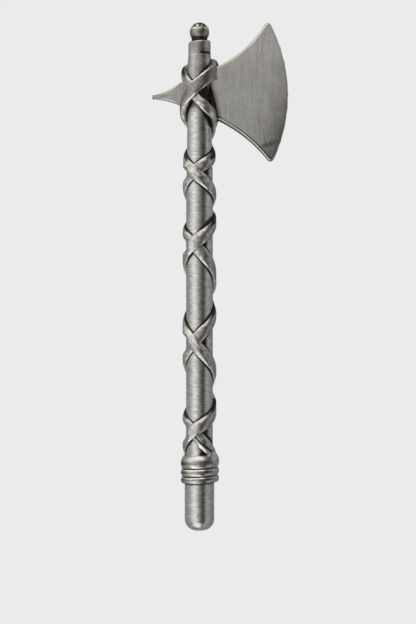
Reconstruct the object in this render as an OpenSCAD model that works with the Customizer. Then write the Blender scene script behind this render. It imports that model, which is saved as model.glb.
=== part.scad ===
// Kilt pin: a cast brooch shaped as a battle-axe, laced with two crossing straps.
// It lies on its pin clasp with its face up. Y runs along the haft towards the finial,
// X points to the blade and Z = 0 is the surface that it rests on. Millimetres.

/* [Haft] */
// Length of the whole brooch, from the butt to the top of the finial
total_l = 95; // [88:1:110]
// Diameter of the haft's shaft
haft_d = 5.0; // [4.8:0.1:5.2]
// Diameter of the haft just under the axe head
haft_neck_d = 4.4; // [4.2:0.05:4.6]
// Length below the head in which the haft swells to its shaft
haft_swell_l = 19; // [12:1:24]
// Diameter of the haft's end inside the head
eye_d = 4.16; // [3.9:0.02:4.2]
// Length of the haft's end that stands out of the head
collar_h = 2.5; // [1.5:0.1:4]
// Chamfer round the haft's top end
collar_chamfer = 0.25; // [0.1:0.05:0.5]
// Diameter of the butt below the ferrule
butt_d = 5.54; // [5.3:0.02:6]
// Length of the butt below the ferrule
butt_l = 9.05; // [6:0.05:14]
// Radius of the butt's rounded end
butt_end_r = 2.1; // [1:0.05:2.6]

/* [Finial] */
// Diameter of the ball
ball_d = 3.74; // [3:0.02:4.2]
// Height of the finial above the haft
finial_h = 3.39; // [2.8:0.01:3.7]
// Diameter of the neck under the ball
finial_neck_d = 2.96; // [2:0.02:3.2]
// Height of the neck under the ball
finial_neck_h = 0.72; // [0.4:0.02:1]
// Diameter of the peg in the haft
peg_d = 1.4; // [1:0.1:2]
// Length of the peg in the haft
peg_l = 1.6; // [1:0.1:2.2]

/* [Axe head] */
// Outer diameter of the socket
socket_d = 4.68; // [4.6:0.02:5]
// Length of the socket along the haft
socket_l = 8.0; // [7.2:0.1:9]
// Tilt of the socket's top edge, in degrees
socket_tilt = 4; // [0:0.5:6]
// Distance from the socket's top to the middle of the blade
blade_drop = 7.14; // [6.6:0.02:7.6]
// Reach of the cutting edge from the haft's axis
blade_reach = 16.61; // [14:0.01:19]
// Height of the blade from tip to tip
blade_span = 26; // [22:0.1:30]
// Height of the blade's neck beside the haft
blade_neck_h = 10.2; // [9:0.1:11]
// Radius of the cutting edge
edge_r = 28.5; // [22:0.1:34]
// Distance of the cutting edge's middle below the blade's
edge_drop = 0.25; // [0:0.05:0.5]
// Radius of the blade's two hollow sides
blade_side_r = 22.5; // [18:0.1:30]
// Radius of the blade's rounded tips
tip_r = 0.75; // [0.4:0.05:1]
// Thickness of the blade where it leaves the socket
blade_root_t = 3.3; // [1.6:0.1:3.5]
// Thickness of the spike where it leaves the socket
spike_root_t = 1.5; // [1.1:0.05:1.7]
// Thickness at the cutting edge
edge_t = 0.45; // [0.3:0.05:0.8]
// Reach of the spike from the haft's axis
spike_reach = 8.86; // [7:0.01:11]
// Height of the spike's blunt tip
spike_tip_h = 0.5; // [0.3:0.05:0.8]
// Distance of the spike's tip below the middle of the blade
spike_drop = 0.86; // [0.4:0.02:1.2]
// Height of the spike's root above its tip
spike_rise = 2.7; // [2.2:0.05:3.2]
// Depth of the spike's root below its tip
spike_fall = 1.7; // [1.2:0.05:2]
// Radius of the spike's upper side
spike_top_r = 60; // [30:1:90]
// Radius of the spike's hollow lower side
spike_bottom_r = 14; // [10:0.5:30]

/* [Straps] */
// Width of a strap
strap_w = 2.1; // [1.7:0.05:2.3]
// Thickness of a strap
strap_t = 0.6; // [0.5:0.02:0.7]
// Thickness of a strap where it runs under the other
strap_under_t = 0.36; // [0.3:0.02:0.4]
// Thickness of a strap where it runs over the other
strap_over_t = 0.48; // [0.4:0.02:0.6]
// Thickness of a strap's end inside the ferrule
strap_end_t = 0.28; // [0.2:0.02:0.32]
// Width of a strap's end inside the ferrule
strap_end_w = 1.3; // [1:0.05:1.6]
// Distance of the laces' bend, behind the head, from the socket's top
lace_drop = 1.47; // [1.3:0.02:1.8]
// Length below the socket in which the straps come in to the haft
shoulder_l = 1; // [0.6:0.1:1.4]
// Turn of the crossings away from the middle of the front, in degrees
cross_turn = -26; // [-30:1:-20]
// Space between a strap and what lies under it
strap_gap = 0.07; // [0.06:0.01:0.09]

/* [Ferrule] */
// Outer diameter of the rings
ring_d = 7.15; // [6.9:0.05:7.6]
// Length of the ferrule along the haft
ferrule_l = 5.1; // [4.6:0.1:6]
// Depth of the grooves between the rings
groove_t = 0.36; // [0.2:0.02:0.4]
// Tilt of the rings, in degrees
ring_tilt = 2.9; // [0:0.1:3.5]
// Wall of the ferrule's top lip
lip_t = 0.2; // [0.16:0.02:0.26]

/* [Pin clasp] */
// Height of the haft's back above the surface
stand_h = 4.0; // [3.4:0.1:5]
// Diameter of the pin stem
stem_d = 1.2; // [0.9:0.05:1.4]
// Distance of the stem's axis from the haft's back
stem_drop = 2.6; // [2.3:0.05:2.7]
// Length of the stem's end beyond the catch
stem_end_l = 1.4; // [1:0.1:2]
// Width of the feet on the surface
foot_w = 5.0; // [4.4:0.1:5.6]
// Length of each foot along the haft
foot_l = 3.2; // [2.4:0.1:3.4]
// Width of the feet where they meet the haft
foot_top_w = 3.8; // [3.2:0.1:4]

/* [Fit] */
// Clearance between seated pieces
fit = 0.03; // [0.02:0.01:0.04]

/* [Hidden] */
$fn = 64;
// Fewest steps of an arc in an outline, and its coarsest step in degrees
arc_least_steps = 10;
arc_step = 12;

// Share of the ferrule that hides the haft's step up to the butt
butt_step_share = 0.3;

// Places along Y, with the brooch's middle at 0
top_y = total_l / 2;
haft_top_y = top_y - finial_h;
socket_top_y = haft_top_y - collar_h;
socket_bottom_y = socket_top_y - socket_l;
blade_y = socket_top_y - blade_drop;
ferrule_bottom_y = -top_y + butt_l;
ferrule_top_y = ferrule_bottom_y + ferrule_l;
butt_step_y = ferrule_bottom_y + ferrule_l * butt_step_share;
lace_top_y = socket_top_y - lace_drop;
lace_l = lace_top_y - ferrule_top_y;

// Place of the haft's axis: the middle of the reach in X is at 0
haft_x = -(blade_reach - spike_reach) / 2;
haft_z = stand_h + haft_d / 2;

// A strap is followed in half turns from its bend behind the head: odd numbers are
// crossings in front and even numbers crossings behind. These are the crossings'
// depths below the bend, as shares of the laced length.
LACE_SHARES = [0, 0.0756, 0.1883, 0.2799, 0.3664, 0.4621, 0.5865, 0.7048, 0.8282, 0.9338, 1.038];
// Half turn at which the straps end, and the length before it in which they taper
lace_end_turn = 9.75;
end_half_turn = 0.08;
end_ramp_turn = 0.35;
// Length of a strap's sections, and the step that its slope is measured over
ring_step = 1 / 15;
slope_step = 0.01;

// Where each strap stands off the haft.
// Columns: middle and half length in half turns, and length of the ramp at each end
RIGHT_RISE_TURNS = [[1, 0.70, 0.22], [4, 0.14, 0.18], [5, 0.14, 0.18], [8, 0.14, 0.18], [9, 0.14, 0.18]];
LEFT_RISE_TURNS = [[0.47, 0.11, 0.20], [1.53, 0.11, 0.20], [2, 0.14, 0.18], [3, 0.14, 0.18],
    [6, 0.14, 0.18], [7, 0.14, 0.18]];
// Half turns at which each strap runs over the other
RIGHT_OVER_TURNS = [1, 4, 5, 8, 9];
LEFT_OVER_TURNS = [2, 3, 6, 7];
cross_half_turn = 0.14;
cross_ramp_turn = 0.18;
rise = strap_under_t + strap_gap;

// A strap's section, from its inner side on. Columns: share of its half width, share of
// its thickness
STRAP_SECTION_SHARES = [[-0.92, 0], [0, 0], [0.92, 0], [1, 0.3], [0.86, 0.74], [0.45, 0.97],
    [-0.45, 0.97], [-0.86, 0.74], [-1, 0.3]];
strap_points = len(STRAP_SECTION_SHARES);
inner_faces = 2;

// The rings of the ferrule, from the top down. Columns: share of the ferrule's length,
// and share of the ring's own length that lies above its widest place
RING_SHARES = [[0.42, 0.6], [0.34, 0.5], [0.24, 0.5]];
function ring_start(i) = i == 0 ? 0 : ring_start(i - 1) + RING_SHARES[i - 1][0];

// The space that the straps need round the socket
lace_r = socket_d / 2 + strap_gap + rise + strap_t + strap_gap;
lip_in_r = haft_d / 2 + 2 * strap_gap + strap_end_t;

function mix(a, b, t) = a + (b - a) * t;
function share_slope(i) =
    i == 0 ? 0
    : i == len(LACE_SHARES) - 1 ? LACE_SHARES[i] - LACE_SHARES[i - 1]
    : (LACE_SHARES[i + 1] - LACE_SHARES[i - 1]) / 2;
// Depth below the bend at half turn k, on a smooth curve through the table
function lace_share(k) =
    let (i = min(floor(k), len(LACE_SHARES) - 2), t = k - i)
    LACE_SHARES[i] * (1 + t * t * (2 * t - 3)) + LACE_SHARES[i + 1] * t * t * (3 - 2 * t)
    + share_slope(i) * t * (1 - t) * (1 - t) - share_slope(i + 1) * t * t * (1 - t);
function lace_y(k) = lace_top_y - lace_l * lace_share(k);
// Angle of the strap to the haft's cross section at half turn k
function lace_pitch(k) =
    let (back = min(k, slope_step), ahead = slope_step)
    atan2(lace_y(k - back) - lace_y(k + ahead), PI * haft_d / 2 * (back + ahead));
function lace_half_h(k) = strap_w / 2 / cos(lace_pitch(k));

// Radius of what lies under the straps at height y
function under_r(y) =
    let (shoulder = socket_bottom_y - strap_w / 2, swell = (socket_bottom_y - y) / haft_swell_l)
    y > shoulder ? socket_d / 2
    : max(mix(socket_d / 2, haft_neck_d / 2, min(1, (shoulder - y) / shoulder_l)),
        mix(haft_neck_d / 2, haft_d / 2, min(1, swell)));

// 1 within half of the middle, falling smoothly to 0 over the ramp
function bump(k, middle, half, ramp) =
    let (d = abs(k - middle))
    d <= half ? 1 : d >= half + ramp ? 0 : (1 + cos(180 * (d - half) / ramp)) / 2;
function largest_bump(k, table) = max([for (row = table) bump(k, row[0], row[1], row[2])]);
function crossing(k, list) = max([for (middle = list) bump(k, middle, cross_half_turn, cross_ramp_turn)]);
function end_share(k) = bump(k, lace_end_turn, end_half_turn, end_ramp_turn);
function strap_t_at(k, over, under) =
    mix(mix(mix(strap_t, strap_over_t, crossing(k, over)), strap_under_t, crossing(k, under)),
        strap_end_t, end_share(k));
function strap_w_at(k) = mix(strap_w, strap_end_w, end_share(k));

// One point of a strap: s is the section's row
function strap_point(k, s, t, lift) =
    let (u = s[0] * strap_w_at(k) / 2, pitch = lace_pitch(k), y = lace_y(k) + u * cos(pitch),
        r = under_r(y) + strap_gap + lift + s[1] * t,
        turn = 180 * (k - 1) + u * sin(pitch) / under_r(y) * 180 / PI)
    [r * sin(turn), y, r * cos(turn)];

// The middle of the circle of radius r through a and b that lies left of the way from a to b
function circle_middle(a, b, ra, rb) =
    let (d = norm(b - a), along = (b - a) / d, left = [-along[1], along[0]],
        x = (d * d + ra * ra - rb * rb) / (2 * d))
    a + along * x + left * sqrt(ra * ra - x * x);

// Points from a up to but without b, the short way round on the circle about middle
function arc(middle, a, b) =
    let (start = atan2(a[1] - middle[1], a[0] - middle[0]),
        full = atan2(b[1] - middle[1], b[0] - middle[0]) - start,
        turn = full > 180 ? full - 360 : full < -180 ? full + 360 : full,
        count = max(arc_least_steps, ceil(abs(turn) / arc_step)))
    [for (i = [0:count - 1]) middle + norm(a - middle) * [cos(start + turn * i / count),
        sin(start + turn * i / count)]];
function flipped(p) = [p[0], -p[1]];

// Round solid about the haft's axis from a profile of [radius, y]
module turned() rotate([-90, 0, 0]) rotate_extrude() children();

module place() translate([haft_x, 0, haft_z]) children();

// The haft, larger by the clearance more where a seat is cut for it
module haft_form(more = 0) {
    swell_y = socket_bottom_y - haft_swell_l;
    end_x = butt_d / 2 - butt_end_r;
    turned() difference() {
        polygon([[0, haft_top_y], [eye_d / 2 - collar_chamfer + more, haft_top_y],
            [eye_d / 2 + more, haft_top_y - collar_chamfer],
            [eye_d / 2 + more, socket_bottom_y - fit + more],
            [haft_neck_d / 2 + more, socket_bottom_y - fit + more],
            [haft_d / 2 + more, swell_y], [haft_d / 2 + more, butt_step_y + more],
            [butt_d / 2 + more, butt_step_y + more], [butt_d / 2 + more, -top_y], [0, -top_y]]);
        difference() {
            translate([end_x, -top_y - butt_end_r]) square(2 * butt_end_r);
            translate([end_x, -top_y + butt_end_r]) circle(butt_end_r);
        }
    }
}

module haft() color([0.62, 0.61, 0.58]) place() difference() {
    haft_form();
    translate([0, haft_top_y + peg_l, 0]) rotate([90, 0, 0])
        cylinder(d = peg_d + 2 * fit, h = 2 * peg_l + fit);
}

module finial() color([0.42, 0.40, 0.38]) place() turned() {
    neck_y = haft_top_y + fit;
    ball_bottom_y = neck_y + finial_neck_h;
    translate([0, haft_top_y - peg_l]) square([peg_d / 2, peg_l + fit]);
    translate([0, neck_y]) square([finial_neck_d / 2, finial_neck_h]);
    intersection() {
        translate([0, top_y - ball_d / 2]) circle(ball_d / 2);
        translate([0, ball_bottom_y]) square([ball_d, ball_d]);
    }
}

// One side of the blade's outline, from the neck round the tip to the cutting edge. It is
// worked out as the upper side, for the cutting edge's circle about middle.
function blade_side(middle) =
    let (neck = [lace_r, blade_neck_h / 2], tip_y = blade_span / 2 - tip_r,
        tip = [middle[0] + sqrt(pow(edge_r - tip_r, 2) - pow(tip_y - middle[1], 2)), tip_y],
        side_middle = circle_middle(neck, tip, blade_side_r, blade_side_r + tip_r),
        side_touch = tip + tip_r * (side_middle - tip) / norm(side_middle - tip),
        edge_touch = tip + tip_r * (tip - middle) / norm(tip - middle))
    concat(arc(side_middle, neck, side_touch), arc(tip, side_touch, edge_touch), [edge_touch]);

// Outline of the blade, with its middle at Y = 0
module blade_outline() {
    edge_middle = [blade_reach - edge_r, -edge_drop];
    upper = blade_side(edge_middle);
    lower = blade_side(flipped(edge_middle));
    edge = arc(edge_middle, upper[len(upper) - 1], flipped(lower[len(lower) - 1]));
    polygon(concat(upper, [for (i = [1:len(edge) - 1]) edge[i]],
        [for (i = [len(lower) - 1:-1:0]) flipped(lower[i])]));
}

// Outline of the spike, with its tip at Y = 0
module spike_outline() {
    tip_top = [-spike_reach, spike_tip_h / 2];
    root_top = [-lace_r, spike_rise];
    root_bottom = [-lace_r, -spike_fall];
    top_middle = circle_middle(tip_top, root_top, spike_top_r, spike_top_r);
    bottom_middle = circle_middle(root_bottom, flipped(tip_top), spike_bottom_r, spike_bottom_r);
    polygon(concat(arc(top_middle, tip_top, root_top), [root_top],
        arc(bottom_middle, root_bottom, flipped(tip_top)), [flipped(tip_top)]));
}

// The short neck that joins the socket to a side's plate between the straps, which pass
// it where the plate's face meets them: reach is less than 0 on the spike's side
module neck_outline(reach, root_t) {
    passing = asin(root_t / 2 / (socket_d / 2 + strap_gap + rise));
    turn = (90 - passing - sign(reach) * cross_turn) / 180;
    neck_top = lace_y(1 - turn) - lace_half_h(1 - turn) - strap_gap * 2;
    neck_bottom = max(socket_bottom_y, lace_y(1 + turn) + lace_half_h(1 + turn) + strap_gap * 2);
    translate([min(reach, 0), neck_bottom]) square([abs(reach), neck_top - neck_bottom]);
}

module head_outline() {
    translate([0, blade_y]) blade_outline();
    translate([0, blade_y - spike_drop]) spike_outline();
    neck_outline(lace_r + tip_r, blade_root_t);
    neck_outline(-lace_r - tip_r, spike_root_t);
}

module axe_head() color([0.55, 0.54, 0.52]) place() difference() {
    union() {
        intersection() {
            translate([0, 0, -blade_root_t]) linear_extrude(2 * blade_root_t) head_outline();
            translate([0, blade_y + blade_span, 0]) rotate([90, 0, 0])
                linear_extrude(2 * blade_span) polygon([
                    [-spike_reach, -edge_t / 2], [-socket_d / 2, -spike_root_t / 2],
                    [0, -spike_root_t / 2], [socket_d / 2, -blade_root_t / 2],
                    [blade_reach, -edge_t / 2], [blade_reach, edge_t / 2],
                    [socket_d / 2, blade_root_t / 2], [0, spike_root_t / 2],
                    [-socket_d / 2, spike_root_t / 2], [-spike_reach, edge_t / 2]]);
        }
        translate([0, socket_bottom_y, 0]) rotate([-90, 0, 0]) cylinder(d = socket_d, h = socket_l);
    }
    haft_form(fit);
    translate([0, socket_top_y, 0]) rotate([0, 0, -socket_tilt])
        translate([-socket_d, 0, -socket_d]) cube(2 * socket_d);
}

// A strap that winds from its bend behind the head, past the left side, down to the ferrule
module strap(rises, over, under) {
    start = strap_gap / (PI * socket_d);
    count = ceil((lace_end_turn - start) / ring_step);
    rings = [for (i = [0:count]) mix(start, lace_end_turn, i / count)];
    points = [for (k = rings)
        let (t = strap_t_at(k, over, under), lift = rise * largest_bump(k, rises))
        for (s = STRAP_SECTION_SHARES) strap_point(k, s, t, lift)];
    n = strap_points;
    // Each four-sided face is split along its shorter way round the haft
    sides = [for (i = [0:count - 1], j = [0:n - 1])
        let (a = i * n + j, b = i * n + (j + 1) % n, c = b + n, d = a + n)
        each j < inner_faces ? [[a, d, b], [b, d, c]] : [[a, d, c], [a, c, b]]];
    first_cap = [for (j = [1:n - 2]) [0, j, j + 1]];
    last_cap = [for (j = [1:n - 2]) [count * n, count * n + j + 1, count * n + j]];
    polyhedron(points, concat(first_cap, sides, last_cap));
}

module strap_right() color([0.66, 0.65, 0.62]) place() rotate([0, cross_turn, 0])
    mirror([1, 0, 0]) strap(RIGHT_RISE_TURNS, RIGHT_OVER_TURNS, LEFT_OVER_TURNS);

module strap_left() color([0.60, 0.59, 0.57]) place() rotate([0, cross_turn, 0])
    strap(LEFT_RISE_TURNS, LEFT_OVER_TURNS, RIGHT_OVER_TURNS);

// Profile of one ring: its crown at Y = 0, above and below it an arc down to the groove
module ring_profile(top_r, above, below) {
    crown = [ring_d / 2, 0];
    upper_r = ring_arc_r(crown[0] - top_r, above);
    lower_r = ring_arc_r(groove_t, below);
    polygon(concat([[0, above]], arc(crown - [upper_r, 0], [top_r, above], crown),
        arc(crown - [lower_r, 0], crown, crown - [groove_t, below]),
        [crown - [groove_t, below], [0, -below]]));
}
// Radius of an arc that leaves the crown square and falls in by depth over length
function ring_arc_r(depth, length) = (length * length + depth * depth) / (2 * depth);

module ferrule() color([0.58, 0.57, 0.54]) place() difference() {
    for (i = [0:len(RING_SHARES) - 1]) {
        ring_l = ferrule_l * RING_SHARES[i][0];
        above = ring_l * RING_SHARES[i][1];
        top_r = i == 0 ? lip_in_r + lip_t : ring_d / 2 - groove_t;
        translate([0, ferrule_top_y - ferrule_l * ring_start(i) - ring_l / 2, 0])
            rotate([0, 0, ring_tilt]) turned() translate([0, ring_l / 2 - above])
                ring_profile(top_r, above, ring_l - above);
    }
    haft_form(fit);
    translate([0, lace_y(lace_end_turn) - strap_end_w / 2 - 2 * strap_gap, 0]) rotate([-90, 0, 0])
        cylinder(r = lip_in_r, h = ferrule_l);
}

// A foot under the haft, with its middle at height y
module foot(y) translate([0, y + foot_l / 2, -haft_z]) rotate([90, 0, 0]) linear_extrude(foot_l)
    polygon([[-foot_w / 2, 0], [foot_w / 2, 0], [foot_w / 2, stem_d / 2], [foot_top_w / 2, stem_d * 2],
        [foot_top_w / 2, stand_h + haft_d / 5], [-foot_top_w / 2, stand_h + haft_d / 5],
        [-foot_top_w / 2, stem_d * 2], [-foot_w / 2, stem_d / 2]]);

module pin_clasp() color([0.64, 0.63, 0.60]) place() difference() {
    hinge_y = lace_y(3);
    catch_y = lace_y(9);
    stem_end_y = catch_y - foot_l / 2 - stem_end_l;
    union() {
        foot(hinge_y);
        foot(catch_y);
        translate([0, hinge_y, -haft_d / 2 - stem_drop]) rotate([90, 0, 0])
            cylinder(d = stem_d, h = hinge_y - stem_end_y - stem_d);
        translate([0, stem_end_y + stem_d, -haft_d / 2 - stem_drop]) rotate([90, 0, 0])
            cylinder(d1 = stem_d, d2 = stem_d / 4, h = stem_d);
    }
    haft_form(fit);
}

haft();
finial();
axe_head();
strap_right();
strap_left();
ferrule();
pin_clasp();
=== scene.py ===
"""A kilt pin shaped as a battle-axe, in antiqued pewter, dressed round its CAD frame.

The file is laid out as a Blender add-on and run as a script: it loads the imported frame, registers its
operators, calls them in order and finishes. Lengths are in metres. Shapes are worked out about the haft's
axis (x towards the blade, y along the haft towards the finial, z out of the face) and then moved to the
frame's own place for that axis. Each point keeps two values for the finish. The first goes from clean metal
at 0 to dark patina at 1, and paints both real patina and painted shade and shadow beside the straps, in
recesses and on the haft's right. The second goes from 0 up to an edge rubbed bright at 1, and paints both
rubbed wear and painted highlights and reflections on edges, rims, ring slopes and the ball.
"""

import math
from types import SimpleNamespace

import bpy
import numpy as np
from bpy.props import FloatProperty, FloatVectorProperty, PointerProperty
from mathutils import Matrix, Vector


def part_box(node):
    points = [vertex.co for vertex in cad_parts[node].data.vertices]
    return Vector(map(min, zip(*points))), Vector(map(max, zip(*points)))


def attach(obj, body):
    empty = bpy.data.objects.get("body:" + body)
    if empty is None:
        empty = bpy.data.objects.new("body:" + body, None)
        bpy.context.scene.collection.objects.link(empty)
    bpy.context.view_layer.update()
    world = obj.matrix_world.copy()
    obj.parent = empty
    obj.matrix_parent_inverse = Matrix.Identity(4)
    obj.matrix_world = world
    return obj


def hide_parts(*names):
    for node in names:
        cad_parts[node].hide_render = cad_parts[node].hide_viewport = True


bl_info = {
    "name": "Battle-axe kilt pin",
    "version": (1, 0, 0),
    "blender": (4, 5, 0),
    "location": "3D View > Sidebar > Kilt pin",
    "description": "Builds a laced battle-axe kilt pin in antiqued pewter round its CAD frame",
    "category": "Add Mesh",
}

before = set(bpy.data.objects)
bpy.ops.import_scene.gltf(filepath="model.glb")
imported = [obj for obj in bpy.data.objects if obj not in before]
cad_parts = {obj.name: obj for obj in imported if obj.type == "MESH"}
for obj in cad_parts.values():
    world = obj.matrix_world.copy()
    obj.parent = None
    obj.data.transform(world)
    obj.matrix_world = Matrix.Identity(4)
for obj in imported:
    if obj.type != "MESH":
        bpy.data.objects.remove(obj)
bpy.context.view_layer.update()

MM = 0.001
BODY = "root"

# The two laces. Half turns are counted from the bend behind the head: odd ones are crossings in front, even
# ones crossings behind. The part runs both straps alike; here each bends a little more behind the haft, as
# the cast ones do, by less than a millimetre in most places and by 1.8 at most. For each strap:
# shares      depth of each half turn, as a share of the laced length
# steepness   how much steeper than an even run the lace passes it
# rises       where it stands off the haft: middle, half length and ramp, in half turns
# over        the crossings at which it runs over the other
# lifts       where it stands prouder: the same as rises, and the height in millimetres
# sways       where it runs straighter: the same as rises, its turn in degrees and its share of width
# shadow      at half turns, how far across it (-1 to 1) the shadow reaches that it comes out of
RIGHT, LEFT = 1, -1
LACES = {
    RIGHT: SimpleNamespace(
        shares=np.array([0, 0.0756, 0.1998, 0.2830, 0.3807, 0.4665, 0.5928, 0.7135, 0.8440, 0.9384, 1.038]),
        steepness=(1, 1, 1.45, 1, 1.1, 1, 1.4, 1, 1.6, 1, 1),
        rises=((1, 0.70, 0.22), (4, 0.14, 0.18), (5, 0.14, 0.18), (8, 0.14, 0.18), (9, 0.14, 0.18)),
        over=(1, 4, 5, 8, 9),
        lifts=((0.44, 0.06, 0.20, 0.16), (1.42, 0.08, 0.20, 0.36)),
        sways=(),
        shadow=((0.8, 0.35), (2.4, -0.1), (4.4, 0.3), (6.4, 0.5), (8.4, 0.55))),
    LEFT: SimpleNamespace(
        shares=np.array([0, 0.0756, 0.1883, 0.2830, 0.3766, 0.4665, 0.5906, 0.7135, 0.8404, 0.9384, 1.038]),
        steepness=(1, 1, 1, 1, 1.4, 1, 1.2, 1, 1.5, 1, 1),
        rises=((0.47, 0.11, 0.20), (1.53, 0.11, 0.20), (2, 0.14, 0.18), (3, 0.14, 0.18),
               (6, 0.14, 0.18), (7, 0.14, 0.18)),
        over=(2, 3, 6, 7),
        lifts=((1.62, 0.08, 0.16, 0.15),),
        sways=((1.30, 0.10, 0.26, -23, -0.26), (9.5, 0.20, 0.30, -12, 0.05)),
        shadow=((0.8, 0.4), (2.64, 0.45), (4.64, 0.68), (6.64, 0.68), (8.64, 0.6)))}
LACE_END_TURN = 9.9
CROSS_HALF, CROSS_RAMP = 0.14, 0.18
# Stretches of the laces, as middle, half length and ramp in half turns. Both straps are flat where they
# cross at the head. The left one melts into the right one in front, its last arm has a black line beside a
# broad painted highlight, and its end under the head has a painted highlight and a duller face. The right
# one is dark there
HEAD_CROSSING = (1, 0.45, 0.3)
LEFT_MELTS = ((3, 0.16, 0.12), (7, 0.16, 0.12))
LAST_ARM, LEFT_RIDGE_HIGHLIGHT, LEFT_DULL = (9.4, 0.3, 0.1), (1.48, 0.16, 0.12), (1.38, 0.2, 0.15)
RIGHT_DARK = (1.5, 0.08, 0.14)
# How far out from the haft's middle the straps' shadow begins and is full, and the same at the head
SHADOW_X = (1.7 * MM, 2.5 * MM)
HEAD_SHADOW_X = {RIGHT: (2.9 * MM, 2.9 * MM + 0.6 * MM), LEFT: (2.3 * MM, 2.3 * MM + 0.6 * MM)}
# Left of these crossings the straps lie flush with the haft, over half this height in millimetres
FLUSH_HALF = {3: 0.1, 5: 0.4, 7: 0.8, 9: 0.8}
# How far their walls' feet are sunk, and how far they stand out where they lie flush
STRAP_FOOT, FLUSH_RISE = 0.12 * MM, 0.06 * MM
# Heights along the haft from its middle. The painted shade on the shaft under the head grows from one to the
# next and ends at a third, and the patina and painted shadow below a strap are widest at a bump (middle,
# half, ramp). Above the ferrule they widen between two heights below the middle
HEAD_SHADE, HEAD_SHADE_TOP, UNDER_HEAD_SHADE_AND_PATINA = (29.6 * MM, 32.3 * MM), 36 * MM, (30 * MM, 1.8 * MM, MM)
ABOVE_FERRULE_SHADE_AND_PATINA = (30 * MM, 31.5 * MM)
# The socket narrows to the collar between the first two. The painted shadow and patina in the recess beside
# the blade get lighter between the next two and end between the last
SOCKET_TAPER = (38.9 * MM, 41.2 * MM)
RECESS_LIGHTER, RECESS_END = (34.5 * MM, 36 * MM), (36.2 * MM, 37.2 * MM)
SOCKET_INNER_R, SOCKET_RIM, SEAT_GAP = 1.9 * MM, 0.16 * MM, 0.03 * MM
# How much lower the haft's top is worn at its middle, and over what height
TOP_WEAR, TOP_WEAR_H = 0.16 * MM, 1.2 * MM
# The blade's nicks: how deep they are, and the places between which they begin
NICK_DEPTH, NICKS_X = 0.08 * MM, (12.5 * MM, 13.6 * MM)
# The smudge near the blade's lower tip: its middle and width across, and along, and its slope
SMUDGE_X, SMUDGE_Y, SMUDGE_SLOPE = (13 * MM, 1.6 * MM), (24.7 * MM, 0.5 * MM), 0.3
# The spike's rim is this many times as wide halfway, and widens and narrows between these places
SPIKE_RIM, SPIKE_RIM_OUT, SPIKE_RIM_IN = 2.6, (-7.6 * MM, -5.8 * MM), (-4.9 * MM, -4.2 * MM)
# Points round each turned piece, along a plate's outline and a foot's, and rings along a lace
ROUND = {"haft": 120, "ball": 96, "socket": 120, "ferrule": 160, "stem": 40}
OUTLINE_POINTS, FOOT_POINTS, LACE_RINGS = 440, 180, 760
# Furthest way between the rings of the haft and the socket, and of the stem
RING_STEP, STEM_STEP = 0.15 * MM, 0.4 * MM
# Rings of the ferrule from the top: share of its length, share of the ring above its crown, and how deep
# (as a share) and how sharply (as a power) the ring falls below it
RING_SHARES = ((0.47, 0.66, 1, 6), (0.29, 0.5, 1, 6), (0.24, 0.5, 0.45, 12))
# The rings' edges slope by this share of their tilt
RING_SLOPE = 0.9
# The line beside the strap at which the blade's face ends and its sunk hollow, dark with patina and painted
# shadow, begins, as y and x in millimetres
HOLLOW_Y = (28.6, 29.8, 30.8, 32.1, 33.7, 35.2, 36.8, 38.2)
HOLLOW_X = (4.2, 4.1, 3.9, 3.6, 3.2, 2.75, 2.3, 1.4)
# Scales of the finishes' noises, as counts to the metre
BLOTCHES, SPECKS, BREAKS = 420.0, 2600.0, 900.0
# The finishes: scale of the grain's noise along x, y and z, depth of the grain, how much its lines show,
# roughness, and the clean metal's colour where it isn't the bright pewter
FINISHES = {
    "turned_pewter": ((800, 2600, 800), 0.8, 1.3, 0.24, None),
    "ball_pewter": ((1400, 1400, 1400), 0.5, 0.6, 0.2, (0.5, 0.48, 0.46)),
    "brushed_pewter": ((2400, 170, 2400), 0.9, 0.4, 0.40, (0.97, 0.95, 0.895)),
    "socket_pewter": ((900, 1500, 900), 0.6, 1.0, 0.28, None),
    "strap_pewter": ((1500, 1500, 1500), 0.9, 1.9, 0.25, None),
    "ring_pewter": ((1500, 1700, 1500), 0.6, 1.6, 0.22, None),
    "clasp_metal": ((900, 900, 900), 0.5, 0.35, 0.24, None),
}
# Brightness of the studio round the haft, by the angle from straight up towards the right, in degrees
STUDIO_ROUND = ((-180, 0.30), (-110, 0.33), (-78, 0.45), (-54, 0.88), (-38, 1.10), (-24, 0.86), (-4, 0.35),
                (12, 0.13), (26, 0.05), (38, 0.06), (50, 0.36), (64, 0.46), (84, 0.36), (105, 0.24),
                (180, 0.30))
# The boxes stand wider apart towards the finial: by what share a unit of height along the haft, from where,
# and the least and most
STUDIO_SPREAD, SPREAD_FROM, SPREAD_ENDS = 0.95, -0.14, (0.7, 1.1)
# Soft boxes at the ends: the angle along the haft at which they begin, which end they light (1 the finial's,
# -1 the butt's), the angles round the haft between which they stand, their level and tint
STUDIO_ENDS = ((30, 1, -95, 34, 1.20, (1.0, 0.96, 0.88)), (-36, -1, -58, 16, 1.25, (0.95, 0.98, 1.0)))
# A box's border fades over these degrees on either side along the haft, and over twice as many round it
BOX_SOFTNESS = 9
# Half the floor's side
FLOOR_HALF = 0.9


def length(name, description, millimetres):
    """A length property, its default given in millimetres."""
    return FloatProperty(name=name, description=description, default=millimetres * MM, unit="LENGTH",
                         subtype="DISTANCE", precision=5)


def angle(name, description, degrees):
    """An angle property, its default given in degrees."""
    return FloatProperty(name=name, description=description, default=math.radians(degrees),
                         unit="ROTATION", subtype="ANGLE")


def colour(name, description, value):
    """A colour property in linear light."""
    return FloatVectorProperty(name=name, description=description, default=value, size=3, min=0, max=1,
                               subtype="COLOR")


def factor(name, description, value):
    """A property from 0 to 1."""
    return FloatProperty(name=name, description=description, default=value, min=0, max=1, subtype="FACTOR")


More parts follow.
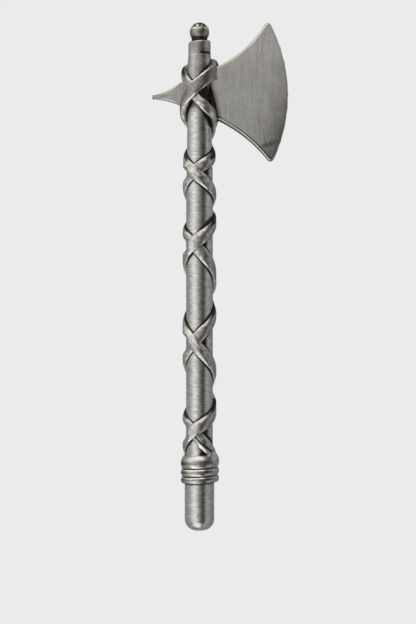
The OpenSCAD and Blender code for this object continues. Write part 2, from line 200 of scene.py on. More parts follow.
class HaftSizes(bpy.types.PropertyGroup):
    """Sizes of the haft and its finial."""
    total_l: length("Whole length", "From the butt to the top of the finial", 95)
    haft_d: length("Haft diameter", "Diameter of the shaft", 5)
    neck_d: length("Neck diameter", "Diameter just under the axe head", 4.4)
    swell_l: length("Swell length", "Length in which the neck swells to the shaft", 19)
    eye_d: length("Eye diameter", "Diameter of the end that stands out of the head", 4.16)
    collar_h: length("Collar height", "Length of the end that stands out of the head", 2.5)
    collar_r: length("Collar rounding", "Radius of the rounded top rim", 0.36)
    butt_d: length("Butt diameter", "Diameter below the ferrule", 5.54)
    butt_l: length("Butt length", "Length below the ferrule", 9.05)
    butt_end_r: length("Butt end radius", "Radius of the rounded end", 2.1)
    ball_d: length("Ball diameter", "Diameter of the finial's ball", 3.74)
    finial_h: length("Finial height", "Height of the finial above the haft", 3.39)
    finial_neck_d: length("Finial neck diameter", "Diameter of the neck under the ball", 2.96)
    finial_neck_h: length("Finial neck height", "Height of the neck under the ball", 0.72)
    unevenness: length("Unevenness", "How far the cast surface wanders in and out", 0.022)


class HeadSizes(bpy.types.PropertyGroup):
    """Sizes of the axe head."""
    socket_d: length("Socket diameter", "Outer diameter of the socket", 4.68)
    socket_l: length("Socket length", "Length of the socket along the haft", 8)
    socket_tilt: angle("Socket tilt", "Tilt of the socket's top edge", 4)
    blade_drop: length("Blade drop", "From the socket's top to the blade's middle", 7.14)
    blade_reach: length("Blade reach", "From the haft's axis to the cutting edge", 16.61)
    blade_span: length("Blade span", "From tip to tip", 26)
    blade_neck_h: length("Blade neck height", "Height of the blade beside the haft", 10.2)
    edge_r: length("Edge radius", "Radius of the cutting edge", 28.5)
    edge_drop: length("Edge drop", "Distance of the cutting edge's middle below the blade's", 0.5)
    neck_drop: length("Neck drop", "Distance of the blade's neck below its middle", 0.27)
    side_r: length("Upper side radius", "Radius of the blade's hollow upper side", 20.5)
    lower_side_r: length("Lower side radius", "Radius of its hollow lower side", 27)
    tip_r: length("Tip radius", "Radius of the rounded tips", 0.68)
    blade_root_t: length("Blade root thickness", "Thickness of the blade beside the socket", 3.3)
    spike_root_t: length("Spike root thickness", "Thickness of the spike beside the socket", 1.5)
    edge_t: length("Edge thickness", "Thickness at the cutting edge", 0.45)
    rim_w: length("Rim width", "Width of the rounded rim", 0.42)
    spike_reach: length("Spike reach", "From the haft's axis to the spike's tip", 8.86)
    spike_tip_h: length("Spike tip height", "Height of the blunt tip", 0.5)
    spike_drop: length("Spike drop", "Tip of the spike below the blade's middle", 0.86)
    spike_rise: length("Spike rise", "Root of the spike above its tip", 2.7)
    spike_fall: length("Spike fall", "Root of the spike below its tip", 1.7)
    spike_top_r: length("Spike top radius", "Radius of the upper side", 12)
    spike_bottom_r: length("Spike bottom radius", "Radius of the hollow lower side", 14)
    spike_rim_w: length("Spike rim width", "Width of the spike's rounded rim", 0.13)


class StrapSizes(bpy.types.PropertyGroup):
    """Sizes of the crossed straps."""
    width: length("Width", "Width of a strap", 2.1)
    thickness: length("Thickness", "Thickness of a strap", 0.6)
    under_t: length("Under thickness", "Thickness where it runs under the other", 0.36)
    over_t: length("Over thickness", "Thickness where it runs over the other", 0.48)
    gap: length("Gap", "Space that the part leaves under a strap", 0.07)
    drop: length("Bend drop", "From the socket's top to the bend behind the head", 1.47)
    cross_turn: angle("Crossing turn", "Turn of the crossings away from the middle of the front", -26)
    wall: factor("Wall share", "Share of the thickness that is the upright side", 0.4)


class FerruleSizes(bpy.types.PropertyGroup):
    """Sizes of the ringed ferrule."""
    ring_d: length("Ring diameter", "Outer diameter of the rings", 7.15)
    ferrule_l: length("Ferrule length", "Length along the haft", 5.1)
    groove_t: length("Groove depth", "Depth of the grooves", 0.36)
    ring_tilt: angle("Ring tilt", "Tilt of the rings", 2.9)
    lip_r: length("Lip radius", "Outer radius of the top lip", 3.02)


class ClaspSizes(bpy.types.PropertyGroup):
    """Sizes of the pin clasp behind the haft."""
    stem_d: length("Stem diameter", "Diameter of the pin stem", 1.2)
    stem_z: length("Stem height", "Height of the stem's middle above the surface", 1.4)
    stem_end_l: length("Stem end", "Length of the stem beyond the catch", 1.4)
    foot_w: length("Foot width", "Width of the feet on the surface", 5)
    foot_top_w: length("Foot top width", "Width of the feet at the haft", 3.8)
    foot_l: length("Foot length", "Length of each foot along the haft", 3.2)
    foot_h: length("Foot height", "Height up to which a foot clasps the haft", 5)
    foot_r: length("Foot rounding", "Radius of the rounded edges", 0.28)


class Pewter(bpy.types.PropertyGroup):
    """Colours of the metal."""
    bright: colour("Bright pewter", "Metal rubbed bright", (0.66, 0.655, 0.63))
    # The warm colour is painted both on rubbed edges and as painted highlights and reflections
    warm: colour("Warm pewter", "Rubbed edges that catch a warm light", (0.76, 0.735, 0.67))
    # The dull and patina colours are painted both as real patina and as painted shade and shadow
    dull: colour("Dull pewter", "Metal under a thin patina", (0.40, 0.385, 0.365))
    patina: colour("Patina", "Dark patina in hollows", (0.055, 0.047, 0.042))


class Studio(bpy.types.PropertyGroup):
    """Camera, floor and light."""
    camera_x: length("Camera X", "Place of the camera across the object", -2.28)
    camera_y: length("Camera Y", "Place of the camera along the object", -6.68)
    camera_z: length("Camera height", "Height of the camera above the haft's axis", 250)
    view_h: length("View height", "What the picture's long side shows at the haft's axis", 116.86)
    floor: colour("Floor", "Pale floor and backdrop", (0.83, 0.83, 0.83))
    light: FloatProperty(name="Light", description="Strength of the studio light", default=1, min=0, max=4)


GROUPS = {"kilt_haft": HaftSizes, "kilt_head": HeadSizes, "kilt_strap": StrapSizes,
          "kilt_ferrule": FerruleSizes, "kilt_clasp": ClaspSizes, "kilt_pewter": Pewter,
          "kilt_studio": Studio}


# ---- Curves and the laced path ----

def smooth(x, start=0.0, end=1.0):
    """0 before start, 1 after end and the curve 3t2 - 2t3 between them."""
    t = np.clip((np.asarray(x, float) - start) / (end - start), 0, 1)
    return t * t * (3 - 2 * t)


def mix(a, b, t):
    """a at t = 0 and b at t = 1, on a straight line."""
    return a + (b - a) * t


def bell(x, middle, width):
    """A bell curve: 1 at the middle, and e to the power of minus the square of the way over the width."""
    return np.exp(-((x - middle) / width) ** 2)


def bump(x, middle, half, ramp):
    """1 within half of the middle, and down to 0 over the ramp on half a cosine."""
    way = np.clip((np.abs(x - middle) - half) / ramp, 0, 1)
    return (1 + np.cos(np.pi * way)) / 2


def highest(x, bumps):
    """The highest of several bumps, each given by its middle, half length and ramp."""
    return np.max([bump(x, *row) for row in bumps], 0)


def wander(turn, y, size, seed=0.0):
    """A slow unevenness of a casting: a sum of sines round the haft and along it, at most about size."""
    y = y / MM
    return size / 3 * (np.sin(2 * turn + 0.55 * y + seed) + np.sin(0.9 * y - turn + 2.1 * seed)
                       + 0.6 * np.sin(3 * turn - 1.7 * y + 0.7 * seed) + 0.4 * np.sin(4.3 * y + seed))


class Pin:
    """The kilt pin's sizes and the places that follow from them."""

    def __init__(self, scene):
        haft, head, strap = scene.kilt_haft, scene.kilt_head, scene.kilt_strap
        self.haft, self.head, self.strap = haft, head, strap
        self.ferrule, self.clasp, self.pewter = scene.kilt_ferrule, scene.kilt_clasp, scene.kilt_pewter
        self.top_y = haft.total_l / 2
        self.haft_top_y = self.top_y - haft.finial_h
        self.socket_top_y = self.haft_top_y - haft.collar_h
        self.socket_bottom_y = self.socket_top_y - head.socket_l
        self.blade_y = self.socket_top_y - head.blade_drop
        self.ferrule_bottom_y = haft.butt_l - self.top_y
        self.ferrule_top_y = self.ferrule_bottom_y + self.ferrule.ferrule_l
        self.lace_top_y = self.socket_top_y - strap.drop
        self.lace_l = self.lace_top_y - self.ferrule_top_y
        low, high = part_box("haft")
        self.axis = np.array([(low.x + high.x) / 2, 0, (low.z + high.z) / 2])
        self.rise = strap.under_t + strap.gap
        self.lace_r = head.socket_d / 2 + strap.gap + self.rise + strap.thickness + strap.gap
        self.slopes = {}
        for side, lace in LACES.items():
            steps = np.diff(lace.shares)
            even_run = np.concatenate([[0], (steps[1:] + steps[:-1]) / 2, steps[-1:]])
            self.slopes[side] = np.array(lace.steepness) * even_run

    def lace_y(self, side, k):
        """Height of a lace at half turn k: a cubic through the shares, with the slopes at each."""
        shares, slopes = LACES[side].shares, self.slopes[side]
        i = np.clip(np.floor(k), 0, len(shares) - 2).astype(int)
        t = k - i
        share = (shares[i] * (1 + t * t * (2 * t - 3)) + shares[i + 1] * t * t * (3 - 2 * t)
                 + slopes[i] * t * (1 - t) ** 2 - slopes[i + 1] * t * t * (1 - t))
        return self.lace_top_y - self.lace_l * share

    def lace_pitch(self, side, k):
        """Angle of a lace to the haft's cross section, over a hundredth of a half turn each way."""
        back, ahead = np.minimum(k, 0.01), 0.01
        fall = self.lace_y(side, k - back) - self.lace_y(side, k + ahead)
        return np.arctan2(fall, np.pi * self.haft.haft_d / 2 * (back + ahead))

    def under_r(self, y):
        """Radius under the straps: the socket, then in to the neck and out to the shaft."""
        shoulder = self.socket_bottom_y - self.strap.width / 2
        socket_r, neck_r, shaft_r = self.head.socket_d / 2, self.haft.neck_d / 2, self.haft.haft_d / 2
        down = mix(socket_r, neck_r, np.clip((shoulder - y) / MM, 0, 1))
        swell = mix(neck_r, shaft_r, np.clip((self.socket_bottom_y - y) / self.haft.swell_l, 0, 1))
        return np.where(y > shoulder, socket_r, np.maximum(down, swell))

    def seat_y(self, x):
        """Height of the socket's slanted top, which is its full height on the right."""
        return self.socket_top_y + np.tan(self.head.socket_tilt) * (x - self.head.socket_d / 2)

    def lace_line(self, side, step=0.02):
        """Middle line of one strap, as points on the surface under it."""
        k = np.arange(0, LACE_END_TURN, step)
        y = self.lace_y(side, k)
        turn = self.strap.cross_turn - side * np.pi * (k - 1)
        r = self.under_r(y)
        return np.stack([r * np.sin(turn), y, r * np.cos(turn)], -1)

    def strap_distance(self, points, sides=(RIGHT, LEFT), batch=4096):
        """Two values for points on the haft: how far they lie from the nearest strap's edge, less than 0
        under a strap, and how far they lie above that strap's middle line, towards the finial.

        Each point is brought in or out to the surface under the straps, and its least distance to the
        points of their middle lines is taken, less half the width.
        """
        line = np.concatenate([self.lace_line(side) for side in sides])
        radius = np.hypot(points[..., 0], points[..., 2])
        scale = self.under_r(points[..., 1]) / np.maximum(radius, MM)
        flat = (points * np.stack([scale, np.ones_like(scale), scale], -1)).reshape(-1, 3)
        near, above = np.empty(len(flat)), np.empty(len(flat))
        for start in range(0, len(flat), batch):
            part = flat[start:start + batch]
            gaps = (part ** 2).sum(1)[:, None] + (line ** 2).sum(1) - 2 * part @ line.T
            found = gaps.argmin(1)
            near[start:start + batch] = np.sqrt(np.maximum(gaps[np.arange(len(part)), found], 0))
            above[start:start + batch] = part[:, 1] - line[found, 1]
        shape = points.shape[:-1]
        return near.reshape(shape) - self.strap.width / 2, above.reshape(shape)


# ---- Meshes ----

def skin(name, rings, layers, closed=False):
    """A mesh from a stack of closed rings, as an array of rings by points by 3.

    Each ring is joined to the next by four-sided faces. An open stack is closed at both ends by a fan about
    the end ring's middle, and a closed one joins its last ring to its first. Faces are turned to point
    outwards, by the sign of the volume they hold. layers are values kept for each point, by name.
    """
    count, around = rings.shape[:2]
    index = np.arange(count * around).reshape(count, around)
    ahead = np.roll(index, -1, 1)
    last = count if closed else count - 1
    next_row = np.roll(index, -1, 0)[:last]
    next_ahead = np.roll(ahead, -1, 0)[:last]
    quads = np.stack([index[:last], ahead[:last], next_ahead, next_row], -1).reshape(-1, 4)
    points = rings.reshape(-1, 3)
    tris = np.empty((0, 3), int)
    if not closed:
        points = np.concatenate([points, rings[0].mean(0)[None], rings[-1].mean(0)[None]])
        first, end = len(points) - 2, len(points) - 1
        tris = np.concatenate([
            np.stack([ahead[0], index[0], np.full(around, first)], -1),
            np.stack([index[-1], ahead[-1], np.full(around, end)], -1)])
    halves = np.concatenate([quads[:, [0, 1, 2]], quads[:, [0, 2, 3]], tris])
    a, b, c = (points[halves[:, i]] for i in range(3))
    if (a * np.cross(b, c)).sum() < 0:
        quads, tris = quads[:, ::-1], tris[:, ::-1]
    mesh = bpy.data.meshes.new(name)
    mesh.from_pydata(points.tolist(), [], quads.tolist() + tris.tolist())
    mesh.polygons.foreach_set("use_smooth", np.ones(len(mesh.polygons), bool))
    for layer, values in layers.items():
        values = np.broadcast_to(values, (count, around))
        flat = values.reshape(-1)
        if not closed:
            flat = np.concatenate([flat, [values[0].mean(), values[-1].mean()]])
        mesh.attributes.new(layer, "FLOAT", "POINT").data.foreach_set("value", flat.astype(np.float32))
    mesh.update()
    return mesh


def piece(pin, name, nodes, material, rings, patina_and_shade, wear_and_highlight=0.0, closed=False):
    """A shown object from rings about the haft's axis, riding on the body and standing for CAD nodes."""
    mesh = skin(name, rings + pin.axis, {"patina_and_shade": np.clip(patina_and_shade, 0, 1), "wear_and_highlight": wear_and_highlight}, closed)
    mesh.materials.append(material)
    made = bpy.data.objects.new(name, mesh)
    bpy.context.scene.collection.objects.link(made)
    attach(made, BODY)
    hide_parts(*nodes)


def turned(r, y, around):
    """Rings about the haft's axis: each radius r at its height y, carried round in equal steps."""
    turn = np.linspace(0, 2 * np.pi, around, endpoint=False)
    r = np.asarray(r)[:, None]
    y = np.broadcast_to(np.asarray(y)[:, None], (len(r), around))
    return np.stack([r * np.sin(turn), y, r * np.cos(turn)], -1)


def polyline(points, step):
    """Points along a polyline, no further apart than step, its corners kept."""
    points = np.asarray(points, float)
    parts = [np.linspace(a, b, max(1, math.ceil(np.linalg.norm(b - a) / step)), endpoint=False)
             for a, b in zip(points[:-1], points[1:])]
    return np.concatenate(parts + [points[-1:]])


def circle_arc(middle, a, b, count):
    """Points from a to b, the short way round on the circle about middle."""
    middle, a, b = (np.asarray(p, float) for p in (middle, a, b))
    start = math.atan2(*(a - middle)[::-1])
    turn = (math.atan2(*(b - middle)[::-1]) - start + np.pi) % (2 * np.pi) - np.pi
    angles = start + turn * np.linspace(0, 1, count)
    return middle + np.linalg.norm(a - middle) * np.stack([np.cos(angles), np.sin(angles)], -1)


def circle_middle(a, b, ra, rb):
    """Middle of the circle that passes a at distance ra and b at rb, left of the way from a to b."""
    a, b = np.asarray(a, float), np.asarray(b, float)
    d = np.linalg.norm(b - a)
    along = (b - a) / d
    x = (d * d + ra * ra - rb * rb) / (2 * d)
    return a + along * x + np.array([-along[1], along[0]]) * math.sqrt(ra * ra - x * x)


def even(outline, count):
    """A closed outline resampled to count points an equal way apart."""
    loop = np.concatenate([outline, outline[:1]])
    way = np.concatenate([[0], np.cumsum(np.linalg.norm(np.diff(loop, axis=0), axis=1))])
    at = np.linspace(0, way[-1], count, endpoint=False)
    return np.stack([np.interp(at, way, loop[:, i]) for i in range(2)], -1)


# ---- Materials ----

class Shade:
    """An output socket of a shader, on which Python's operators add Math nodes."""

    def __init__(self, finish, socket):
        self.finish, self.socket = finish, socket

    def math(self, operation, other):
        """This value and another through a Math node."""
        return self.finish.node("ShaderNodeMath", {"operation": operation}, {0: self, 1: other})

    def __add__(self, other):
        return self.math("ADD", other)

    def __sub__(self, other):
        return self.math("SUBTRACT", other)

    def __mul__(self, other):
        return self.math("MULTIPLY", other)

    def __truediv__(self, other):
        return self.math("DIVIDE", other)

    def __rsub__(self, other):
        return self.finish.node("ShaderNodeMath", {"operation": "SUBTRACT"}, {0: other, 1: self})

    __radd__, __rmul__ = __add__, __mul__

    def clamped(self, low=0.0, high=1.0):
        """Kept between low and high."""
        return self.finish.node("ShaderNodeClamp", {}, {"Value": self, "Min": low, "Max": high})

    def stepped(self, low, high):
        """0 below low and 1 above high, smooth between."""
        return self.finish.node("ShaderNodeMapRange", {"interpolation_type": "SMOOTHSTEP"},
                                {"Value": self, "From Min": low, "From Max": high})


class Finish:
    """A node tree under construction."""

    def __init__(self, tree):
        self.tree = tree
        tree.nodes.clear()

    def node(self, kind, settings, inputs, output=0):
        """Adds a node: first its settings, then values or links for its sockets, by name or number."""
        made = self.tree.nodes.new(kind)
        stops = settings.pop("stops", ())
        for key, value in settings.items():
            setattr(made, key, value)
        if stops:
            ramp = made.color_ramp
            while len(ramp.elements) < len(stops):
                ramp.elements.new(0.5)
            for element, (at, shade) in zip(ramp.elements, stops):
                element.position, element.color = at, shade
        for key, value in inputs.items():
            socket = made.inputs[key]
            if isinstance(value, Shade):
                self.tree.links.new(value.socket, socket)
            else:
                socket.default_value = value
        return Shade(self, made.outputs[output]) if len(made.outputs) else None

    def noise(self, vector, scale, detail=2.0, roughness=0.5):
        """Noise from 0 to 1, of a scale that is a count to the metre."""
        return self.node("ShaderNodeTexNoise", {}, {
            "Vector": vector, "Scale": scale, "Detail": detail, "Roughness": roughness})

    def colours(self, a, b, share):
        """Colour a at share 0 and colour b at share 1."""
        return self.node("ShaderNodeMix", {"data_type": "RGBA"}, {0: share, 6: a, 7: b}, 2)

    def layer(self, name):
        """The value that the mesh keeps for each point under this name."""
        return self.node("ShaderNodeAttribute", {"attribute_name": name}, {}, "Fac")


def rgba(value):
    """A colour with full opacity."""
    return (*value, 1.0)


def pewter(name, pin):
    """Antiqued pewter.

    Fine lines from a noise stretched by grain (its scale along x, y and z), over slow blotches. The layer of
    patina and painted shade, broken up by noise, takes the metal from bright to dull to a dark patina, and
    the layer of rubbed wear and painted highlights takes raised edges and lit slopes to a warm bright metal.
    The lines and specks then darken and lighten it, the lines by grain_show. Roughness rises with the layer
    of patina and painted shade and varies with the lines.
    """
    grain, grain_depth, grain_show, rough, bright = FINISHES[name]
    material = bpy.data.materials.new(name)
    material.use_nodes = True
    finish = Finish(material.node_tree)
    where = finish.node("ShaderNodeTexCoord", {}, {}, "Object")
    stretched = finish.node("ShaderNodeMapping", {}, {"Vector": where, "Scale": grain})
    lines = finish.noise(stretched, 1.0, 3.0, 0.6)
    blotches = finish.noise(where, BLOTCHES, 3.0, 0.55)
    specks = finish.noise(where, SPECKS, 2.0, 0.6)
    patina_and_shade = (finish.layer("patina_and_shade") * (0.75 + 0.5 * specks) + (blotches - 0.5) * 0.35).clamped()
    thin = (patina_and_shade * 2.2).clamped()
    thick = patina_and_shade.stepped(0.35, 0.85)
    metal = finish.colours(rgba(bright or pin.pewter.bright), rgba(pin.pewter.dull), thin)
    metal = finish.colours(metal, rgba(pin.pewter.patina), thick)
    breaks = finish.noise(where, BREAKS, 2.0, 0.5)
    wear_and_highlight = (finish.layer("wear_and_highlight") * (0.3 + 1.4 * breaks)).clamped()
    metal = finish.colours(metal, rgba(pin.pewter.warm), wear_and_highlight)
    tone = 1 + (lines - 0.5) * grain_show + (specks - 0.5) * 0.5
    metal = finish.node("ShaderNodeVectorMath", {"operation": "SCALE"}, {0: metal, "Scale": tone})
    dull = rough + 0.22 * patina_and_shade + 0.10 * (lines - 0.5) - 0.07 * wear_and_highlight + 0.06 * (blotches - 0.5)
    height = lines * grain_depth + blotches * 0.35 + specks * 0.12
    normal = finish.node("ShaderNodeBump", {}, {
        "Strength": 0.35, "Distance": 0.06 * MM, "Height": height})
    shader = finish.node("ShaderNodeBsdfPrincipled", {}, {
        "Base Color": metal, "Metallic": 1.0, "Roughness": dull, "Normal": normal})
    finish.node("ShaderNodeOutputMaterial", {}, {"Surface": shader})
    return material


# ---- Pieces ----

def haft_profile(pin):
    """The haft's outline as radii and heights, from the top's middle to the butt's middle.

    The top rim and the butt's end are quarter circles, the neck swells on a straight taper and the step
    out to the butt lies inside the ferrule.
    """
    haft = pin.haft
    eye, neck, shaft, butt = (d / 2 for d in (haft.eye_d, haft.neck_d, haft.haft_d, haft.butt_d))
    rim, end = haft.collar_r, haft.butt_end_r
    quarter = np.linspace(0, np.pi / 2, 9)
    top = np.stack([eye - rim + rim * np.sin(quarter), pin.haft_top_y - rim + rim * np.cos(quarter)], -1)
    quarter = np.linspace(0, np.pi / 2, 24)
    bottom = np.stack([butt - end + end * np.cos(quarter), end - pin.top_y - end * np.sin(quarter)], -1)
    step_y = pin.ferrule_bottom_y + 0.3 * pin.ferrule.ferrule_l
    inside = [[eye, pin.haft_top_y - rim], [eye, pin.socket_bottom_y + 0.1 * MM],
              [neck, pin.socket_bottom_y], [shaft, pin.socket_bottom_y - haft.swell_l],
              [shaft, step_y], [butt, step_y - 0.1 * MM], [butt, end - pin.top_y]]
    flat_top = np.linspace([0.1 * MM, pin.haft_top_y], top[0], 8, endpoint=False)
    flat_end = np.linspace(bottom[-1], [0.1 * MM, -pin.top_y], 8)[1:]
    return np.concatenate([flat_top, top[:-1], polyline(inside, RING_STEP)[:-1], bottom, flat_end]).T


def make_haft(pin):
    """The haft: its profile turned about the axis, less a slow unevenness that only takes away.

    The cast top falls evenly from right to left. Patina and painted shadow lie in the corner above a strap,
    wider on the haft's right, away from the light, and widest above the third crossing's right arm, as a
    thinner line below one, wide only under the head and above the ferrule, and fill the notch right of a
    crossing. They fade on a smooth step of the way from the strap, as a share of their width there.
    """
    haft = pin.haft
    haft_r = haft.haft_d / 2
    r, heights = haft_profile(pin)
    rings = turned(r, heights, ROUND["haft"])
    x, y, z = np.moveaxis(rings, -1, 0)
    turn = np.arctan2(x, z)
    worn = smooth(y, pin.haft_top_y - TOP_WEAR_H, pin.haft_top_y)
    y -= TOP_WEAR * worn * (1 - x / (haft.eye_d / 2))
    swing = np.minimum(1 + wander(turn, y, haft.unevenness) / np.maximum(r, 0.5 * MM)[:, None], 1)
    x *= swing
    z *= swing

    # Patina and painted shadow beside the straps, wider on the haft's right, where the shade falls
    (to_right, over_right), (to_left, over_left) = (pin.strap_distance(rings, (side,)) for side in LACES)
    near = np.minimum(to_right, to_left)
    above = np.where(to_right < to_left, over_right, over_left)
    right = smooth(x / haft_r, -0.3, 0.9)
    third_arm = bump(y, pin.lace_y(RIGHT, 4.5), 1.6 * MM, 1.2 * MM) * right
    width_above = mix(mix(0.42, 0.62, right), 1.25, third_arm) * MM
    at_ferrule = smooth(-y, *ABOVE_FERRULE_SHADE_AND_PATINA) * right ** 0.3
    under_head = bump(y, *UNDER_HEAD_SHADE_AND_PATINA) * right
    width_below = mix(mix(mix(0.42, 0.6, right), 1.1, at_ferrule), 2.0, under_head) * MM
    hollow = np.where(above > 0, 1 - smooth(near / width_above, 0.3), 1 - smooth(near / width_below, 0.15))
    beside = highest(y, [(pin.lace_y(RIGHT, k) - 0.4 * MM, 1.1 * MM, 0.6 * MM) for k in FLUSH_HALF])
    # Patina and painted shadow fill the notch right of a crossing
    notch = 1 - smooth(to_right + to_left, 0.8 * MM, 2.5 * MM)
    hollow = np.maximum(hollow, notch * beside * smooth(x, 0.1 * MM, 0.4 * MM))

    # Lines at the ferrule's two ends, round the finial's neck a dark line of patina and painted shadow under
    # the ball, and the back evenly darker
    seam_y = pin.ferrule_bottom_y + np.tan(pin.ferrule.ring_tilt) * x * RING_SLOPE
    seams = 1.2 * bell(y, seam_y, 0.34 * MM)
    seams += bell(y, pin.ferrule_top_y + 0.3 * MM, 0.6 * MM) * smooth(x, -0.4 * MM, 0.3 * MM)
    neck = bell(y, pin.haft_top_y, 0.15 * MM) * (r < haft.finial_neck_d / 2 + 0.2 * MM)[:, None]
    behind = 0.25 * smooth(-z / haft_r, 0.2)
    # The collar is dullest in front and darker on the right than on the left: patina, and painted shade that
    # leaves its highlight further left. A dark line is painted where it meets the socket, on the front's
    # right half
    collar = smooth(y, pin.socket_top_y - 0.5 * MM, pin.socket_top_y) * (
        0.10 + 0.12 * (1 - right) + 0.26 * bump(np.degrees(turn), -12, 16, 30)
        + 0.2 * smooth(right, 0.6, 0.9))
    groove = bell(y, pin.seat_y(x) + 0.12 * MM, 0.2 * MM) * smooth(x, 0, 0.4 * MM) * (z > 0)
    # The shaft comes out from under the head in a shade
    shaded = 0.75 * smooth(y, *HEAD_SHADE) * (y < HEAD_SHADE_TOP) * (z > 0)
    patina_and_shade = np.where(y > pin.lace_top_y, groove, hollow) + 0.8 * seams + neck + behind + shaded + collar
    # The rubbed top rim carries a painted highlight
    wear_and_highlight = 0.8 * bell(y, pin.haft_top_y - 0.3 * MM, 0.22 * MM) * (r > 1.6 * MM)[:, None]
    piece(pin, "haft_shaft", ["haft"], pewter("turned_pewter", pin), rings, patina_and_shade, wear_and_highlight)


def make_finial(pin):
    """The finial: a ball on a short neck, turned about the axis.

    The ball's outline is a circle by its polar angle from the top, drawn in by 0.05 mm except on a
    bell-shaped band above its middle, which carries a painted highlight. A painted dark reflection is an
    ellipse on its front, with two painted glints of a lamp on it, and the ball is darker below the band and
    darkest at the neck, as patina and painted shade.
    """
    haft = pin.haft
    ball_r, neck_r = haft.ball_d / 2, haft.finial_neck_d / 2
    ball_y = pin.top_y - ball_r
    low = math.acos((ball_y - pin.haft_top_y - haft.finial_neck_h) / ball_r)
    polar = np.linspace(0.05, np.pi - low, 72)
    r = (ball_r - 0.05 * MM * (1 - bell(polar, 1.2, 0.1))) * np.sin(polar)
    neck_y = [pin.haft_top_y + haft.finial_neck_h * 0.8, pin.haft_top_y - 0.4 * MM]
    r = np.append(r, [neck_r] * 2)
    rings = turned(r, np.append(ball_y + ball_r * np.cos(polar), neck_y), ROUND["ball"])
    polar = np.append(polar, [np.pi] * 2)[:, None]
    wide, high = rings[..., 0] / ball_r, (rings[..., 1] - ball_y) / ball_r
    # A painted dark reflection on the ball's top, and two painted glints of a lamp on it
    dark_reflection_cap = 1 - smooth(np.hypot((wide - 0.02) / 0.70, (high - 0.66) / 0.30), 0.8, 1.05)
    painted_glints = sum(np.exp(-(np.hypot(wide - x, high - y) / glint_r) ** 4)
                for x, y, glint_r in ((-0.22, 0.64, 0.15), (0.22, 0.55, 0.1))) * (rings[..., 2] > 0)
    # Darker below the band and at the neck: patina and painted shade
    dark = np.clip(dark_reflection_cap + 0.5 * smooth(polar, 1.3, 1.42) + smooth(polar, 2.0, 2.5), 0, 1)
    # A painted highlight along the band, and the glints
    wear_and_highlight = np.clip(bell(polar, 1.22, 0.1) * (1 - dark_reflection_cap) + 2 * painted_glints, 0, 1)
    piece(pin, "finial_ball", ["finial"], pewter("ball_pewter", pin), rings,
          dark * (1 - np.clip(painted_glints, 0, 1)), wear_and_highlight)


def plate(outline, rim, height, middle):
    """Rings of a plate with a rounded rim, and each point's way in from the outline in rim widths.

    Rings run from the middle of the back, out along the back face, round the rim on half an ellipse and in
    along the front to the middle again. rim gives the rim's width at places x, and height half the
    thickness at any place.
    """
    outline = even(outline, OUTLINE_POINTS)
    ahead, back = np.roll(outline, -1, 0), np.roll(outline, 1, 0)
    along = (ahead - back) / np.linalg.norm(ahead - back, axis=1)[:, None]
    inward = np.stack([-along[:, 1], along[:, 0]], -1)
    if ((middle - outline) * inward).sum() < 0:
        inward = -inward
    tilt = np.linspace(-np.pi / 2, np.pi / 2, 17)
    border = np.array([1.7, 1.4, 1.15])
    insets = np.concatenate([border, 1 - np.cos(tilt), border[::-1]])
    rims = outline + inward * insets[:, None, None] * rim(outline[:, 0])[:, None]
    faces = middle + (rims[0] - middle) * np.linspace(0.01, 1, 44, endpoint=False)[:, None, None]
    full = np.full(len(faces), 2.0)
    face = np.ones(len(faces) + len(border))
    flat = np.concatenate([faces, rims, faces[::-1]])
    z = height(flat[..., 0], flat[..., 1]) * np.concatenate([-face, np.sin(tilt), face])[:, None]
    inside = np.concatenate([full, insets, full])[:, None]
    return np.concatenate([flat, z[..., None]], -1), np.broadcast_to(inside, z.shape)


def rim_light_and_wear(inside, lower):
    """Painted shade and highlights with rubbed wear on a plate's front rim, by the way in from the outline
    and the share that faces down.

    The upper rim is rubbed and carries a painted highlight all over. The lower one has a painted highlight
    line between two painted dark lines, standing for the reflections on its rounded edge. Each line is one
    smooth step up times one down.
    """
    upper_rim_highlight_and_wear = smooth(inside, 0.1, 0.3) * (1 - smooth(inside, 0.95, 1.2))
    line = smooth(inside, 0.2, 0.4) * (1 - smooth(inside, 0.8, 0.95))
    outer = 1 - smooth(inside, 0.08, 0.3)
    border = smooth(inside, 0.85, 1.0) * (1 - smooth(inside, 1.2, 1.6))
    return lower * np.clip(0.8 * outer + 0.65 * border, 0, 1), mix(upper_rim_highlight_and_wear, line, lower)


